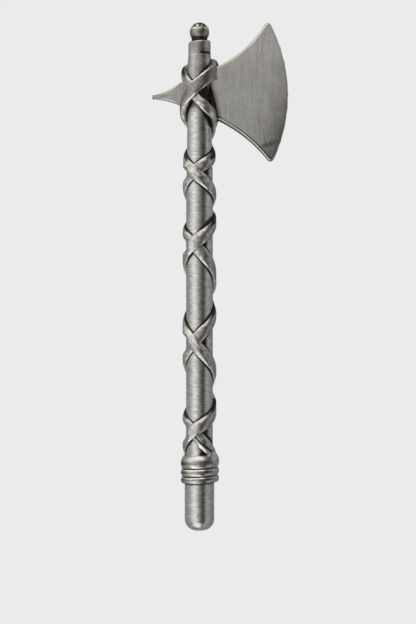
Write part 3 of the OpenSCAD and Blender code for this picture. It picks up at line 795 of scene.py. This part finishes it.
def make_socket(pin, finish):
    """The socket: a closed outline with bevelled rims turned about the axis, its top cut at a slant.

    Its outer wall comes in to the collar's width on a smooth step of the height. It is a little darker in
    front, dark with patina and painted shadow beside the straps, more widely above them on the haft's right,
    and in the recess between the right strap, the left one and the blade, and has a dark line along its top
    on the right.
    """
    outer_r, inner_r, rim = pin.head.socket_d / 2, SOCKET_INNER_R, SOCKET_RIM
    top, bottom = pin.socket_top_y, pin.socket_bottom_y
    corners = [[inner_r, bottom], [outer_r - rim, bottom], [outer_r, bottom + rim], [outer_r, top - rim],
               [outer_r - rim, top], [inner_r, top]]
    r, heights = polyline(corners, RING_STEP).T
    rings = turned(r, heights, ROUND["socket"])
    x, y, z = np.moveaxis(rings, -1, 0)
    turn = np.arctan2(x, z)
    y += np.where(y > (top + bottom) / 2, pin.seat_y(x) - top, 0) * smooth(y, bottom, top)
    outer = np.clip((r - inner_r) / (outer_r - rim - inner_r), 0, 1)[:, None]
    taper = smooth(y, *SOCKET_TAPER) * outer
    swing = mix(1, (pin.haft.eye_d / 2 + SEAT_GAP) / outer_r, taper)
    swing = swing + wander(turn, y, 0.02 * MM, 2) / outer_r
    x *= swing
    z *= swing
    near, above = pin.strap_distance(rings)
    width = np.where(above > 0, mix(0.4, 0.7, smooth(x / outer_r, -0.3, 0.9)), 0.3) * MM
    recess = smooth(x, 0.3 * MM, 0.9 * MM) * (1 - smooth(y, *RECESS_END))
    seat = bell(y, top, 0.2 * MM) * smooth(x, -0.4 * MM, 0.8 * MM)
    # Patina and painted shadow beside the straps, wider above them on the haft's right
    patina_and_shade = 0.25 + 0.2 * bump(np.degrees(turn), 4, 16, 26) + 0.75 * (1 - smooth(near / width))
    # Patina and painted shadow in the recess beside the blade
    patina_and_shade += (seat + mix(0.55, 0.25, smooth(y, *RECESS_LIGHTER)) * recess) * (z > 0)
    piece(pin, "head_socket", ["axe_head"], finish, rings, patina_and_shade, closed=True)


def blade_side(pin, middle, drop, side_r):
    """One side of the blade's outline as the upper one, for the cutting edge's circle about middle: the
    hollow side from the neck, then round the tip to the cutting edge."""
    head = pin.head
    neck = np.array([pin.lace_r, head.blade_neck_h / 2 - drop])
    tip_y = head.blade_span / 2 - head.tip_r
    tip_x = middle[0] + math.sqrt((head.edge_r - head.tip_r) ** 2 - (tip_y - middle[1]) ** 2)
    tip = np.array([tip_x, tip_y])
    side_middle = circle_middle(neck, tip, side_r, side_r + head.tip_r)
    side_touch = tip + head.tip_r * (side_middle - tip) / np.linalg.norm(side_middle - tip)
    edge_touch = tip + head.tip_r * (tip - middle) / np.linalg.norm(tip - middle)
    return np.concatenate([circle_arc(side_middle, neck, side_touch, 60)[:-1],
                           circle_arc(tip, side_touch, edge_touch, 16)])


def blade_outline(pin):
    """The blade: a rounded root inside the socket, two hollow sides, rounded tips and a curved edge.

    Small nicks cut into the edge by two waves of the height, one of them bent and one folded.
    """
    head = pin.head
    flip = np.array([1, -1])
    edge_middle = np.array([head.blade_reach - head.edge_r, -head.edge_drop])
    upper = blade_side(pin, edge_middle, head.neck_drop, head.side_r)
    lower = blade_side(pin, edge_middle * flip, -head.neck_drop, head.lower_side_r) * flip
    edge = circle_arc(edge_middle, upper[-1], lower[-1], 160)[1:-1]
    root_r = 1.2 * MM
    corner = np.array([2 * root_r, head.blade_neck_h / 2 - root_r])
    turn_in = circle_arc(corner, corner - [root_r, 0], corner + [0, root_r], 12)
    loop = np.concatenate([upper, edge, lower[::-1], (turn_in * flip)[::-1], turn_in])
    s = loop[:, 1] / MM
    nicks = 0.25 * (1 + np.sin(2.9 * s + 1.1 * np.sin(1.3 * s))) + 0.5 * np.abs(np.sin(1.1 * s + 0.4))
    loop[:, 0] -= NICK_DEPTH * nicks * smooth(loop[:, 0], *NICKS_X)
    return loop + [0, pin.blade_y]


def make_blade(pin, finish):
    """The blade: a plate that thins on a straight line from the socket to the cutting edge.

    Behind the line beside the strap it is sunk to 0.4 of that thickness on a smooth step. The dark colour
    adds up patina and painted shadow in the hollow there, a painted shade line along the right strap, a band
    along the edge that widens downwards, the lower part a little darker as painted shade, a smudge near the
    lower tip, and the rim's painted shade lines.
    """
    head = pin.head

    def beyond_line(x, y):
        """How far a place lies on the face's side of the line beside the strap."""
        return (x - np.interp(y, np.array(HOLLOW_Y) * MM, np.array(HOLLOW_X) * MM)) * 0.8

    def height(x, y):
        """Half the thickness."""
        share = np.clip((x - head.socket_d / 2) / (head.blade_reach - head.socket_d / 2), 0, 1)
        wedge = mix(head.blade_root_t / 2, head.edge_t / 2, share)
        return wedge * mix(0.4, 1, smooth(beyond_line(x, y), -0.75 * MM, -0.35 * MM))

    rings, inside = plate(blade_outline(pin), lambda x: np.full_like(x, head.rim_w), height,
                          np.array([9.5 * MM, pin.blade_y]))
    x, y, z = np.moveaxis(rings, -1, 0)
    front = smooth(z, 0, 0.1 * MM)
    near, _ = pin.strap_distance(rings, (RIGHT,))
    # A painted shade line where the right strap meets the blade
    crease = 0.45 * bell(near, 0, 0.22 * MM) * (1 - smooth(np.hypot(x, z), 3.6 * MM, 3.9 * MM))
    way = beyond_line(x, y)
    # Patina and painted shadow in the hollow beside the strap
    hollow = 0.42 * (1 - smooth(way, -0.3 * MM, 0.2 * MM)) + 0.6 * (1 - smooth(way, -1.1 * MM, -0.55 * MM))
    down = pin.blade_y - y
    edge_in = head.blade_reach - x - (down - head.edge_drop) ** 2 / (2 * head.edge_r)
    lower = smooth(down, -9 * MM, 9 * MM)
    worn = (1 - smooth(edge_in / mix(3.4, 7.5, lower), 0, MM)) * mix(0.04, 0.37, lower)
    # The lower part of the blade a little darker, as painted shade
    worn += 0.11 * (1 - smooth(-down, 3 * MM, 9 * MM))
    smudge_y = SMUDGE_Y[0] + SMUDGE_SLOPE * (x - SMUDGE_X[0])
    smudge = 0.3 * bell(x, *SMUDGE_X) * bell(y, smudge_y, SMUDGE_Y[1])
    off_edge = smooth(edge_in, 0.4 * MM, 1.2 * MM)
    # Painted shade lines and painted highlights on the blade's rim, over rubbed wear
    rim_shade_lines, rim_highlight_and_wear = rim_light_and_wear(inside, smooth(down, MM, 3 * MM))
    patina_and_shade = hollow + (crease + worn + smudge + rim_shade_lines * off_edge) * front
    wear_and_highlight = rim_highlight_and_wear * front * off_edge
    piece(pin, "head_blade", ["axe_head"], finish, rings, patina_and_shade, wear_and_highlight)


def spike_outline(pin):
    """The spike: two hollow sides, each an arc, a blunt tip, and a rounded root in the socket."""
    head = pin.head
    tip_top = np.array([-head.spike_reach, head.spike_tip_h / 2])
    tip_bottom = tip_top * [1, -1] - [0, 0.22 * MM]
    root_top = np.array([-pin.lace_r, head.spike_rise])
    root_bottom = np.array([-pin.lace_r, -head.spike_fall])
    top_middle = circle_middle(tip_top, root_top, head.spike_top_r, head.spike_top_r)
    bottom_middle = circle_middle(root_bottom, tip_bottom, head.spike_bottom_r, head.spike_bottom_r)
    root_middle = np.array([-1.9 * MM, 0.5 * (root_top[1] + root_bottom[1])])
    root = circle_arc(root_middle, root_middle + [0, 2.2 * MM], root_middle + [1.0 * MM, 1.9 * MM], 12)
    root = np.concatenate([root, root[::-1] * [1, -1] + [0, 2 * root_middle[1]]])
    loop = np.concatenate([circle_arc(top_middle, tip_top, root_top, 40), root,
                           circle_arc(bottom_middle, root_bottom, tip_bottom, 40)])
    return loop + [0, pin.blade_y - head.spike_drop]


def make_spike(pin, finish):
    """The spike: a plate that thins on a straight line to its tip, its rim 2.6 times as wide halfway."""
    head = pin.head
    tip_y = pin.blade_y - head.spike_drop

    def rim(x):
        """Width of the rim: wider on a smooth step up and one down."""
        halfway = smooth(x, *SPIKE_RIM_OUT) * (1 - smooth(x, *SPIKE_RIM_IN))
        return head.spike_rim_w * mix(1, SPIKE_RIM, halfway)

    def height(x, y):
        """Half the thickness."""
        share = np.clip((-x - head.socket_d / 2) / (head.spike_reach - head.socket_d / 2), 0, 1)
        return mix(head.spike_root_t / 2, head.edge_t / 2, share)

    rings, inside = plate(spike_outline(pin), rim, height, np.array([-4.2 * MM, tip_y + 0.35 * MM]))
    x, y, z = np.moveaxis(rings, -1, 0)
    front = smooth(z, 0, 0.1 * MM)
    # The lower rim's outer edge darker as painted shade, and the rim a painted highlight over rubbed wear,
    # brighter below
    down = smooth(tip_y - y, -0.1 * MM, 0.15 * MM)
    under = (1 - smooth(inside, 0.1, 0.3)) * down
    patina_and_shade = 0.3 + 0.08 * smooth(x, -6 * MM, -3.2 * MM) + under * front
    wear_and_highlight = (1 - smooth(inside, 0.7, 1.1)) * (1 - under) * mix(0.7, 1.4, down) * front
    piece(pin, "head_spike", ["axe_head"], finish, rings, patina_and_shade, wear_and_highlight)


def make_head(pin):
    """The axe head: a smooth socket, and a blade and a spike brushed along the haft."""
    brushed = pewter("brushed_pewter", pin)
    make_socket(pin, pewter("socket_pewter", pin))
    make_blade(pin, brushed)
    make_spike(pin, brushed)


def strap_rings(pin, side):
    """Rings of one strap, with the half turn, the way across, the way up its wall and the flatness at each.

    A section with upright walls and a domed top is carried along the lace. Across it, from -1 to 1, the top
    stands on the wall by 1 less the way across to a power of 2.6, and of 4 on the flatter first crossing.
    The wall's foot is sunk into what it lies on. The thickness and the rise off the haft follow the
    crossings. The section's offset goes along the haft by the cosine of the lace's pitch and round it by
    the sine over the radius.
    """
    strap, lace, other = pin.strap, LACES[side], LACES[-side]
    k = np.linspace(0, LACE_END_TURN, LACE_RINGS)[:, None]
    u = np.sin(np.linspace(-1, 1, 25) * np.pi / 2 * 0.94) / math.sin(np.pi / 2 * 0.94)
    wall_up = np.array([0.0, 0.4, 0.75])
    across = np.concatenate([-np.ones(3), u, np.ones(3), [0.5, -0.5]])
    up = np.concatenate([wall_up, np.ones(25), wall_up[::-1], np.zeros(2)])
    flat = bump(k, *HEAD_CROSSING)
    dome = (1 - np.abs(across) ** mix(2.6, 4.0, flat)) * (up == 1)
    wall = mix(strap.wall, 0.68, flat)
    is_over, is_under = (highest(k, [(turn, CROSS_HALF, CROSS_RAMP) for turn in turns])
                         for turns in (lace.over, other.over))
    t = mix(mix(strap.thickness, strap.over_t, is_over), strap.under_t, is_under)
    lift = pin.rise * highest(k, lace.rises) + sum(bump(k, *row) * high * MM for *row, high in lace.lifts)
    pitch = pin.lace_pitch(side, k)
    wide = 1 + 0.035 * np.sin(5.3 * k + side) + 0.02 * np.sin(13.1 * k)
    wide = wide + sum(bump(k, *row) * share for *row, _, share in lace.sways)
    offset = across * strap.width / 2 * wide
    y = pin.lace_y(side, k) + offset * np.cos(pitch)
    base = pin.under_r(y)
    r = mix(base - STRAP_FOOT, base + strap.gap + lift + wall * t, up) + dome * (1 - wall) * t
    turn = strap.cross_turn - side * (np.pi * (k - 1) + offset * np.sin(pitch) / base)
    turn = turn + sum(bump(k, *row) * math.radians(degrees) for *row, degrees, _ in lace.sways)
    # The left strap's upper side slopes down to the one that it crosses in front
    melt = highest(k, LEFT_MELTS) * smooth(across, -0.1) * (side == LEFT)
    r = r - melt * 0.85 * pin.rise * up
    # Left of a crossing, both straps lie flush with the haft
    flush = highest(y, [(pin.lace_y(side, crossing) - 0.25 * MM, half * MM, 1.3 * MM)
                        for crossing, half in FLUSH_HALF.items()])
    flush = flush * smooth(-np.sin(turn), 0.6, 0.92) * (np.cos(turn) > -0.5)
    r = mix(r, np.minimum(r, base + FLUSH_RISE), flush)
    return np.stack([r * np.sin(turn), y, r * np.cos(turn)], -1), k, across, up, flat, is_under


def make_strap(pin, side, finish):
    """One strap with its wear and painted light.

    Patina and painted shade add up on the upper wall, at the lower wall's foot, in a crease beside the other
    strap and on the face, which is darker towards the haft's right, away from the light. A strap comes round
    the haft's edge out of a painted shadow, which reaches across it as far as its table says. Both edges are
    rubbed bright and carry painted highlights, less where the strap melts into the other.
    """
    rings, k, across, up, flat, is_under = strap_rings(pin, side)
    x, _, z = np.moveaxis(rings, -1, 0)
    is_left, is_right = side == LEFT, side == RIGHT
    to_other, _ = pin.strap_distance(rings, (-side,))
    merged = (1 - smooth(to_other, -0.25 * MM, 0.05 * MM)) * (1 - flat)
    # Patina and painted shade in the crease beside the other strap, where this one runs under
    crease = 0.4 * (1 - smooth(to_other, 0, 0.3 * MM)) * is_under
    # Patina and painted shade on the upper wall and at the lower wall's foot
    curl = smooth(np.abs(x) / pin.lace_r, 0.55, 0.85)
    upper_wall = (across > 0.96) * mix(1.0, mix(0.8, 0.5, curl), up)
    lower_wall = (across < -0.96) * (1 - smooth(up, 0.3, 0.7))
    walls = np.clip(upper_wall * (1 - 0.85 * merged) + lower_wall * (1 - 0.5 * merged), 0, 1)

    # The left strap's last arm has a black line beside a broad painted highlight, and so has its end under
    # the head
    last = bump(k, *LAST_ARM) * is_left
    ridge_highlight = bump(k, *LEFT_RIDGE_HIGHLIGHT) * is_left + last
    right = smooth(x, -0.5 * MM, 2.2 * MM) * (np.abs(across) < 0.9)
    # The face is darker towards the haft's right, away from the light, as painted shade
    face = 0.14 + 0.16 * right * (1 - flat) + 0.35 * flat * is_right * (np.abs(across) < 0.8)
    face = face + last * bell(across, -0.27, 0.13) + 0.2 * bump(k, *LEFT_DULL) * is_left
    face = face + 0.5 * bump(k, *RIGHT_DARK) * is_right * smooth(across, -0.4, 0.2)
    face = face + 0.25 * smooth(k, 9.2, 9.5) * is_right

    # The painted shadow that each strap comes out of round the haft's edge
    edge = smooth(side * x, *SHADOW_X) * smooth(k, 1.8, 2.2)
    edge = edge + smooth(side * x, *HEAD_SHADOW_X[side]) * (k < 0.8)
    edge = edge * (z > -MM)
    deep = np.interp(k, *zip(*LACES[side].shadow))
    patina_and_shade = walls + crease + face + 0.85 * edge * smooth(across, deep, deep + 0.45)
    # Painted highlights along both edges, over edges rubbed bright
    upper_edge = 0.7 * smooth(across, 0.80, 0.92) * (1 - 0.95 * merged)
    lower_edge = smooth(-across, mix(0.72, 0.15, ridge_highlight) + 0.33 * last, mix(0.9, 0.42, ridge_highlight) + 0.2 * last)
    lower_edge = lower_edge * smooth(up, 0.3, 0.7) * (1 - last * smooth(k, 9.5, 9.62))
    wear_and_highlight = np.clip(upper_edge + lower_edge * (1 - 0.6 * merged), 0, 1) * (1 - crease)
    wear_and_highlight = wear_and_highlight * (1 - edge * smooth(across, deep, deep + 0.3))
    name, node = ("strap_left_lace", "strap_left") if is_left else ("strap_right_lace", "strap_right")
    piece(pin, name, [node], finish, rings, patina_and_shade, wear_and_highlight)


def make_straps(pin):
    """The two straps, of one finish. The right one runs over at the head."""
    finish = pewter("strap_pewter", pin)
    for side in LACES:
        make_strap(pin, side, finish)


def ring_profile(pin):
    """The ferrule's outline as radii and heights, and each point's way up and down its ring to a groove.

    From a ring's crown, the radius falls by the groove's depth times 0.5 w2 + 0.5 w6 over the way w up or
    down to the groove, with the ring's own power for the last term below. The first ring's upper slope falls
    to the lip by 0.9 w2.4 + 0.1 w8 instead.
    """
    ferrule = pin.ferrule
    crown_r, inner_r = ferrule.ring_d / 2, 2.2 * MM
    start = pin.ferrule_top_y
    up, down = np.linspace(1, 0, 22, endpoint=False), np.linspace(0, 1, 20)
    r, y, upper, lower = [[inner_r]], [[start]], [[1]], [[0]]
    for share, above_share, depth, power in RING_SHARES:
        ring_l = ferrule.ferrule_l * share
        crown_y = start - ring_l * above_share
        if start == pin.ferrule_top_y:
            fall = (crown_r - ferrule.lip_r) * (0.9 * up ** 2.4 + 0.1 * up ** 8)
        else:
            fall = ferrule.groove_t * (0.5 * up ** 2 + 0.5 * up ** 6)
        r += [crown_r - fall, crown_r - depth * ferrule.groove_t * (0.5 * down ** 2 + 0.5 * down ** power)]
        y += [crown_y + up * (start - crown_y), crown_y - down * (crown_y - start + ring_l)]
        upper += [up, 0 * down]
        lower += [0 * up, down]
        start -= ring_l
    ends = ([inner_r], [pin.ferrule_bottom_y], [0], [1])
    return (np.concatenate([*parts, end]) for parts, end in zip((r, y, upper, lower), ends))


def make_ferrule(pin):
    """The ferrule: three rings with grooves between them, turned about the axis, then tilted and shifted.

    The top runs up by 0.6 mm on the right, where a strap's end melts into it. Patina and painted shade fill
    the grooves, the crowns are darkened as a painted dark reflection, the left is duller, and painted
    highlights lie broad on each upper slope and as a line on each lower one.
    """
    ferrule = pin.ferrule
    r, heights, upper, lower = ring_profile(pin)
    rings = turned(r, heights, ROUND["ferrule"])
    x, y, z = np.moveaxis(rings, -1, 0)
    turn = np.arctan2(x, z)
    upper, lower = upper[:, None], lower[:, None]
    ring_share, above_share, _, _ = RING_SHARES[0]
    first = (heights > pin.ferrule_top_y - ring_share * above_share * ferrule.ferrule_l)[:, None]
    y += 0.6 * MM * bump(turn, 1.0, 0.1, 0.5) * smooth(upper, 0.2) * first
    y += np.tan(ferrule.ring_tilt) * x * RING_SLOPE
    swing = 1 + wander(turn, y, 0.05 * MM, 4) / (ferrule.ring_d / 2)
    x *= swing
    z *= swing
    x += 0.1 * MM
    left = smooth(-turn, 0.5, 1.2) * smooth(turn, -2.6, -1.9)
    shaded = bump(turn, 0.55, 0.1, 0.35)
    right = smooth(turn, 0.6, 0.9) * (1 - smooth(turn, 1.9, 2.6))
    # Patina and painted shade in the grooves, and a painted dark reflection on the crowns
    groove = smooth(lower, 0.78, 0.94) + smooth(upper, 0.94) * (1 - first)
    crown = smooth(upper, 0, 0.15) * (1 - smooth(upper, 0.3, 0.45)) + (1 - smooth(upper + lower, 0, 0.2))
    patina_and_shade = groove * (1 - 0.35 * right) + 0.34 * crown * (1 - 0.8 * right)
    patina_and_shade = patina_and_shade + 0.3 * left + 0.25 * shaded + 0.06
    # Painted highlights: broad on each upper slope and a line on each lower one
    upper_slope_highlight = smooth(upper, 0.4, 0.6) * (1 - smooth(upper, 0.92) * (1 - first)) * mix(0.8, 0.35, first)
    line = smooth(lower, 0.15, 0.3) * (1 - smooth(lower, 0.68, 0.8))
    wear_and_highlight = np.clip(upper_slope_highlight + line, 0, 1) * (1 - 0.8 * left) * (1 - mix(0.7, 1, first) * shaded) * (1 - right)
    piece(pin, "ferrule_rings", ["ferrule"], pewter("ring_pewter", pin), rings, patina_and_shade, wear_and_highlight,
          closed=True)


def foot_rings(pin, y):
    """Rings of a foot about height y: an outline across the haft, carried along it.

    The outline's corners are rounded by taking the mean of neighbours six times. At both ends it draws in
    towards its middle on a quarter circle.
    """
    clasp = pin.clasp
    w, top_w, r = clasp.foot_w / 2, clasp.foot_top_w / 2, clasp.foot_r
    corners = np.array([[-w, 0], [w, 0], [w, clasp.stem_d / 2], [top_w, clasp.stem_d * 2],
                        [top_w, clasp.foot_h], [-top_w, clasp.foot_h], [-top_w, clasp.stem_d * 2],
                        [-w, clasp.stem_d / 2]])
    outline = even(corners, FOOT_POINTS)
    for _ in range(6):
        outline = (np.roll(outline, 1, 0) + np.roll(outline, -1, 0) + 2 * outline) / 4
    middle = np.array([0, clasp.foot_h * 0.42])
    tilt = np.linspace(0, np.pi / 2, 8)
    inset = np.concatenate([r * (1 - np.sin(tilt)), r * (1 - np.cos(tilt))])
    half_l = clasp.foot_l / 2
    along = np.concatenate([r * (1 - np.cos(tilt)) - half_l, half_l - r + r * np.sin(tilt)])
    shares = 1 - inset[:, None] / np.linalg.norm(outline - middle, axis=1)
    fan = np.linspace(0.02, 1, 10, endpoint=False)[:, None]
    shares = np.concatenate([fan * shares[0], shares, (fan * shares[-1])[::-1]])
    along = np.concatenate([np.full(10, along[0]), along, np.full(10, along[-1])])
    flat = middle + (outline - middle) * shares[..., None]
    return np.stack([flat[..., 0], np.broadcast_to(y + along[:, None], flat.shape[:2]),
                     np.maximum(flat[..., 1], 0) - pin.axis[2]], -1)


def make_clasp(pin):
    """The pin clasp: a straight stem with a tapered end, turned about its own axis, and two feet."""
    clasp = pin.clasp
    low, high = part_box("pin_clasp")
    hinge_y = high.y - clasp.foot_l / 2
    end_y = low.y
    catch_y = end_y + clasp.stem_end_l + clasp.foot_l / 2
    r = clasp.stem_d / 2
    profile = polyline([[r, hinge_y], [r, end_y + clasp.stem_d], [r / 4, end_y]], STEM_STEP)
    stem = turned(*profile.T, ROUND["stem"])
    stem[..., 2] += clasp.stem_z - pin.axis[2]
    finish = pewter("clasp_metal", pin)
    piece(pin, "clasp_stem", ["pin_clasp"], finish, stem, 0.0)
    for name, y in (("clasp_hinge_foot", hinge_y), ("clasp_catch_foot", catch_y)):
        rings = foot_rings(pin, y)
        patina_and_shade = 0.8 * smooth(rings[..., 2] + pin.axis[2], 2.6 * MM, 4.4 * MM)
        piece(pin, name, ["pin_clasp"], finish, rings, patina_and_shade)


# ---- Stage ----

def make_world(studio):
    """A studio of long soft boxes beside the haft, and one more at each end.

    The level round the haft follows STUDIO_ROUND. Each end box is the product of two smooth steps, one in
    the angle round the haft and one in the height along it, and covers what lies behind it. The camera
    itself sees a plain pale backdrop.
    """
    world = bpy.data.worlds.new("studio")
    bpy.context.scene.world = world
    world.use_nodes = True
    finish = Finish(world.node_tree)
    ray = finish.node("ShaderNodeTexCoord", {}, {}, "Generated")
    x, y, z = (finish.node("ShaderNodeSeparateXYZ", {}, {"Vector": ray}, axis) for axis in "XYZ")
    turn = x.math("ARCTAN2", z)
    spread = (1 - (y - SPREAD_FROM) * STUDIO_SPREAD).clamped(*SPREAD_ENDS)
    top = max(level for _, level in STUDIO_ROUND)
    stops = [((degrees + 180) / 360, rgba((level / top,) * 3)) for degrees, level in STUDIO_ROUND]
    light = finish.node("ShaderNodeValToRGB", {"stops": stops}, {"Fac": turn * spread / (2 * math.pi) + 0.5})
    for height, end, left, right, level, tint in STUDIO_ENDS:
        along = y.stepped(*(math.sin(math.radians(height + soft)) for soft in (-BOX_SOFTNESS, BOX_SOFTNESS)))
        if end < 0:
            along = 1 - along
        soft = 2 * BOX_SOFTNESS
        across = turn.stepped(math.radians(left - soft), math.radians(left + soft))
        across *= 1 - turn.stepped(math.radians(right - soft), math.radians(right + soft))
        light = finish.colours(light, rgba(level * part / top for part in tint), along * across)
    lit = finish.node("ShaderNodeBackground", {}, {"Color": light, "Strength": top * studio.light})
    plain = finish.node("ShaderNodeBackground", {}, {"Color": rgba(studio.floor), "Strength": 1.0})
    seen = finish.node("ShaderNodeLightPath", {}, {}, "Is Camera Ray")
    shader = finish.node("ShaderNodeMixShader", {}, {0: seen, 1: lit, 2: plain})
    finish.node("ShaderNodeOutputWorld", {}, {"Surface": shader})


def make_stage(pin, studio):
    """The studio, a flat pale floor that neither shines into the metal nor takes its shade, and the camera.

    The camera looks straight down from far off. Its lens is its sensor's width times its height over what
    the picture shows.
    """
    make_world(studio)
    floor_mesh = bpy.data.meshes.new("floor")
    corners = [(x * FLOOR_HALF, y * FLOOR_HALF, 0) for x, y in ((-1, -1), (1, -1), (1, 1), (-1, 1))]
    floor_mesh.from_pydata(corners, [], [(0, 1, 2, 3)])
    floor = bpy.data.objects.new("floor", floor_mesh)
    bpy.context.scene.collection.objects.link(floor)
    material = bpy.data.materials.new("pale_floor")
    material.use_nodes = True
    finish = Finish(material.node_tree)
    glow = finish.node("ShaderNodeEmission", {}, {"Color": rgba(studio.floor), "Strength": 1.0})
    finish.node("ShaderNodeOutputMaterial", {}, {"Surface": glow})
    floor_mesh.materials.append(material)
    floor.visible_glossy = False
    floor.visible_diffuse = False
    camera_data = bpy.data.cameras.new("camera")
    camera_data.sensor_width = 36
    camera_data.lens = camera_data.sensor_width * studio.camera_z / studio.view_h
    camera_data.clip_start, camera_data.clip_end = 0.005, 10
    camera = bpy.data.objects.new("camera", camera_data)
    camera.location = (studio.camera_x, studio.camera_y, pin.axis[2] + studio.camera_z)
    bpy.context.scene.collection.objects.link(camera)
    bpy.context.scene.camera = camera
    bpy.context.scene.view_settings.view_transform = "Standard"


# ---- Add-on ----

class KILTPIN_OT_haft(bpy.types.Operator):
    """Turns the haft: collar, swelling shaft and round butt"""
    bl_idname = "kiltpin.haft"
    bl_label = "Haft"

    def execute(self, context):
        make_haft(Pin(context.scene))
        return {"FINISHED"}


class KILTPIN_OT_finial(bpy.types.Operator):
    """Turns the ball on its neck"""
    bl_idname = "kiltpin.finial"
    bl_label = "Finial"

    def execute(self, context):
        make_finial(Pin(context.scene))
        return {"FINISHED"}


class KILTPIN_OT_head(bpy.types.Operator):
    """Makes the axe head: socket, blade and spike"""
    bl_idname = "kiltpin.head"
    bl_label = "Axe head"

    def execute(self, context):
        make_head(Pin(context.scene))
        return {"FINISHED"}


class KILTPIN_OT_straps(bpy.types.Operator):
    """Laces the two straps round the haft"""
    bl_idname = "kiltpin.straps"
    bl_label = "Straps"

    def execute(self, context):
        make_straps(Pin(context.scene))
        return {"FINISHED"}


class KILTPIN_OT_ferrule(bpy.types.Operator):
    """Makes the three rings of the ferrule"""
    bl_idname = "kiltpin.ferrule"
    bl_label = "Ferrule"

    def execute(self, context):
        make_ferrule(Pin(context.scene))
        return {"FINISHED"}


class KILTPIN_OT_clasp(bpy.types.Operator):
    """Makes the pin clasp behind the haft: two feet and the stem"""
    bl_idname = "kiltpin.clasp"
    bl_label = "Pin clasp"

    def execute(self, context):
        make_clasp(Pin(context.scene))
        return {"FINISHED"}


class KILTPIN_OT_stage(bpy.types.Operator):
    """Sets the floor, the studio light and the camera"""
    bl_idname = "kiltpin.stage"
    bl_label = "Stage"

    def execute(self, context):
        make_stage(Pin(context.scene), context.scene.kilt_studio)
        return {"FINISHED"}


class KILTPIN_PT_panel(bpy.types.Panel):
    """Lists the steps and their sizes"""
    bl_idname = "KILTPIN_PT_panel"
    bl_label = "Kilt pin"
    bl_space_type = "VIEW_3D"
    bl_region_type = "UI"
    bl_category = "Kilt pin"

    def draw(self, context):
        for operator in OPERATORS:
            self.layout.operator(operator.bl_idname)
        for group, properties in GROUPS.items():
            box = self.layout.box()
            for name in properties.__annotations__:
                box.prop(getattr(context.scene, group), name)


OPERATORS = (KILTPIN_OT_stage, KILTPIN_OT_haft, KILTPIN_OT_finial, KILTPIN_OT_head, KILTPIN_OT_straps,
             KILTPIN_OT_ferrule, KILTPIN_OT_clasp)


def register():
    """Adds the groups of sizes, the operators and the panel."""
    for made in (*GROUPS.values(), *OPERATORS, KILTPIN_PT_panel):
        bpy.utils.register_class(made)
    for name, group in GROUPS.items():
        setattr(bpy.types.Scene, name, PointerProperty(type=group))


def unregister():
    """Takes them out again, in the opposite order."""
    for name in GROUPS:
        delattr(bpy.types.Scene, name)
    for made in (KILTPIN_PT_panel, *reversed(OPERATORS), *reversed(GROUPS.values())):
        bpy.utils.unregister_class(made)


def main():
    """Registers the add-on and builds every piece."""
    register()
    bpy.ops.kiltpin.stage()
    bpy.ops.kiltpin.haft()
    bpy.ops.kiltpin.finial()
    bpy.ops.kiltpin.head()
    bpy.ops.kiltpin.straps()
    bpy.ops.kiltpin.ferrule()
    bpy.ops.kiltpin.clasp()


if __name__ == "__main__":
    main()
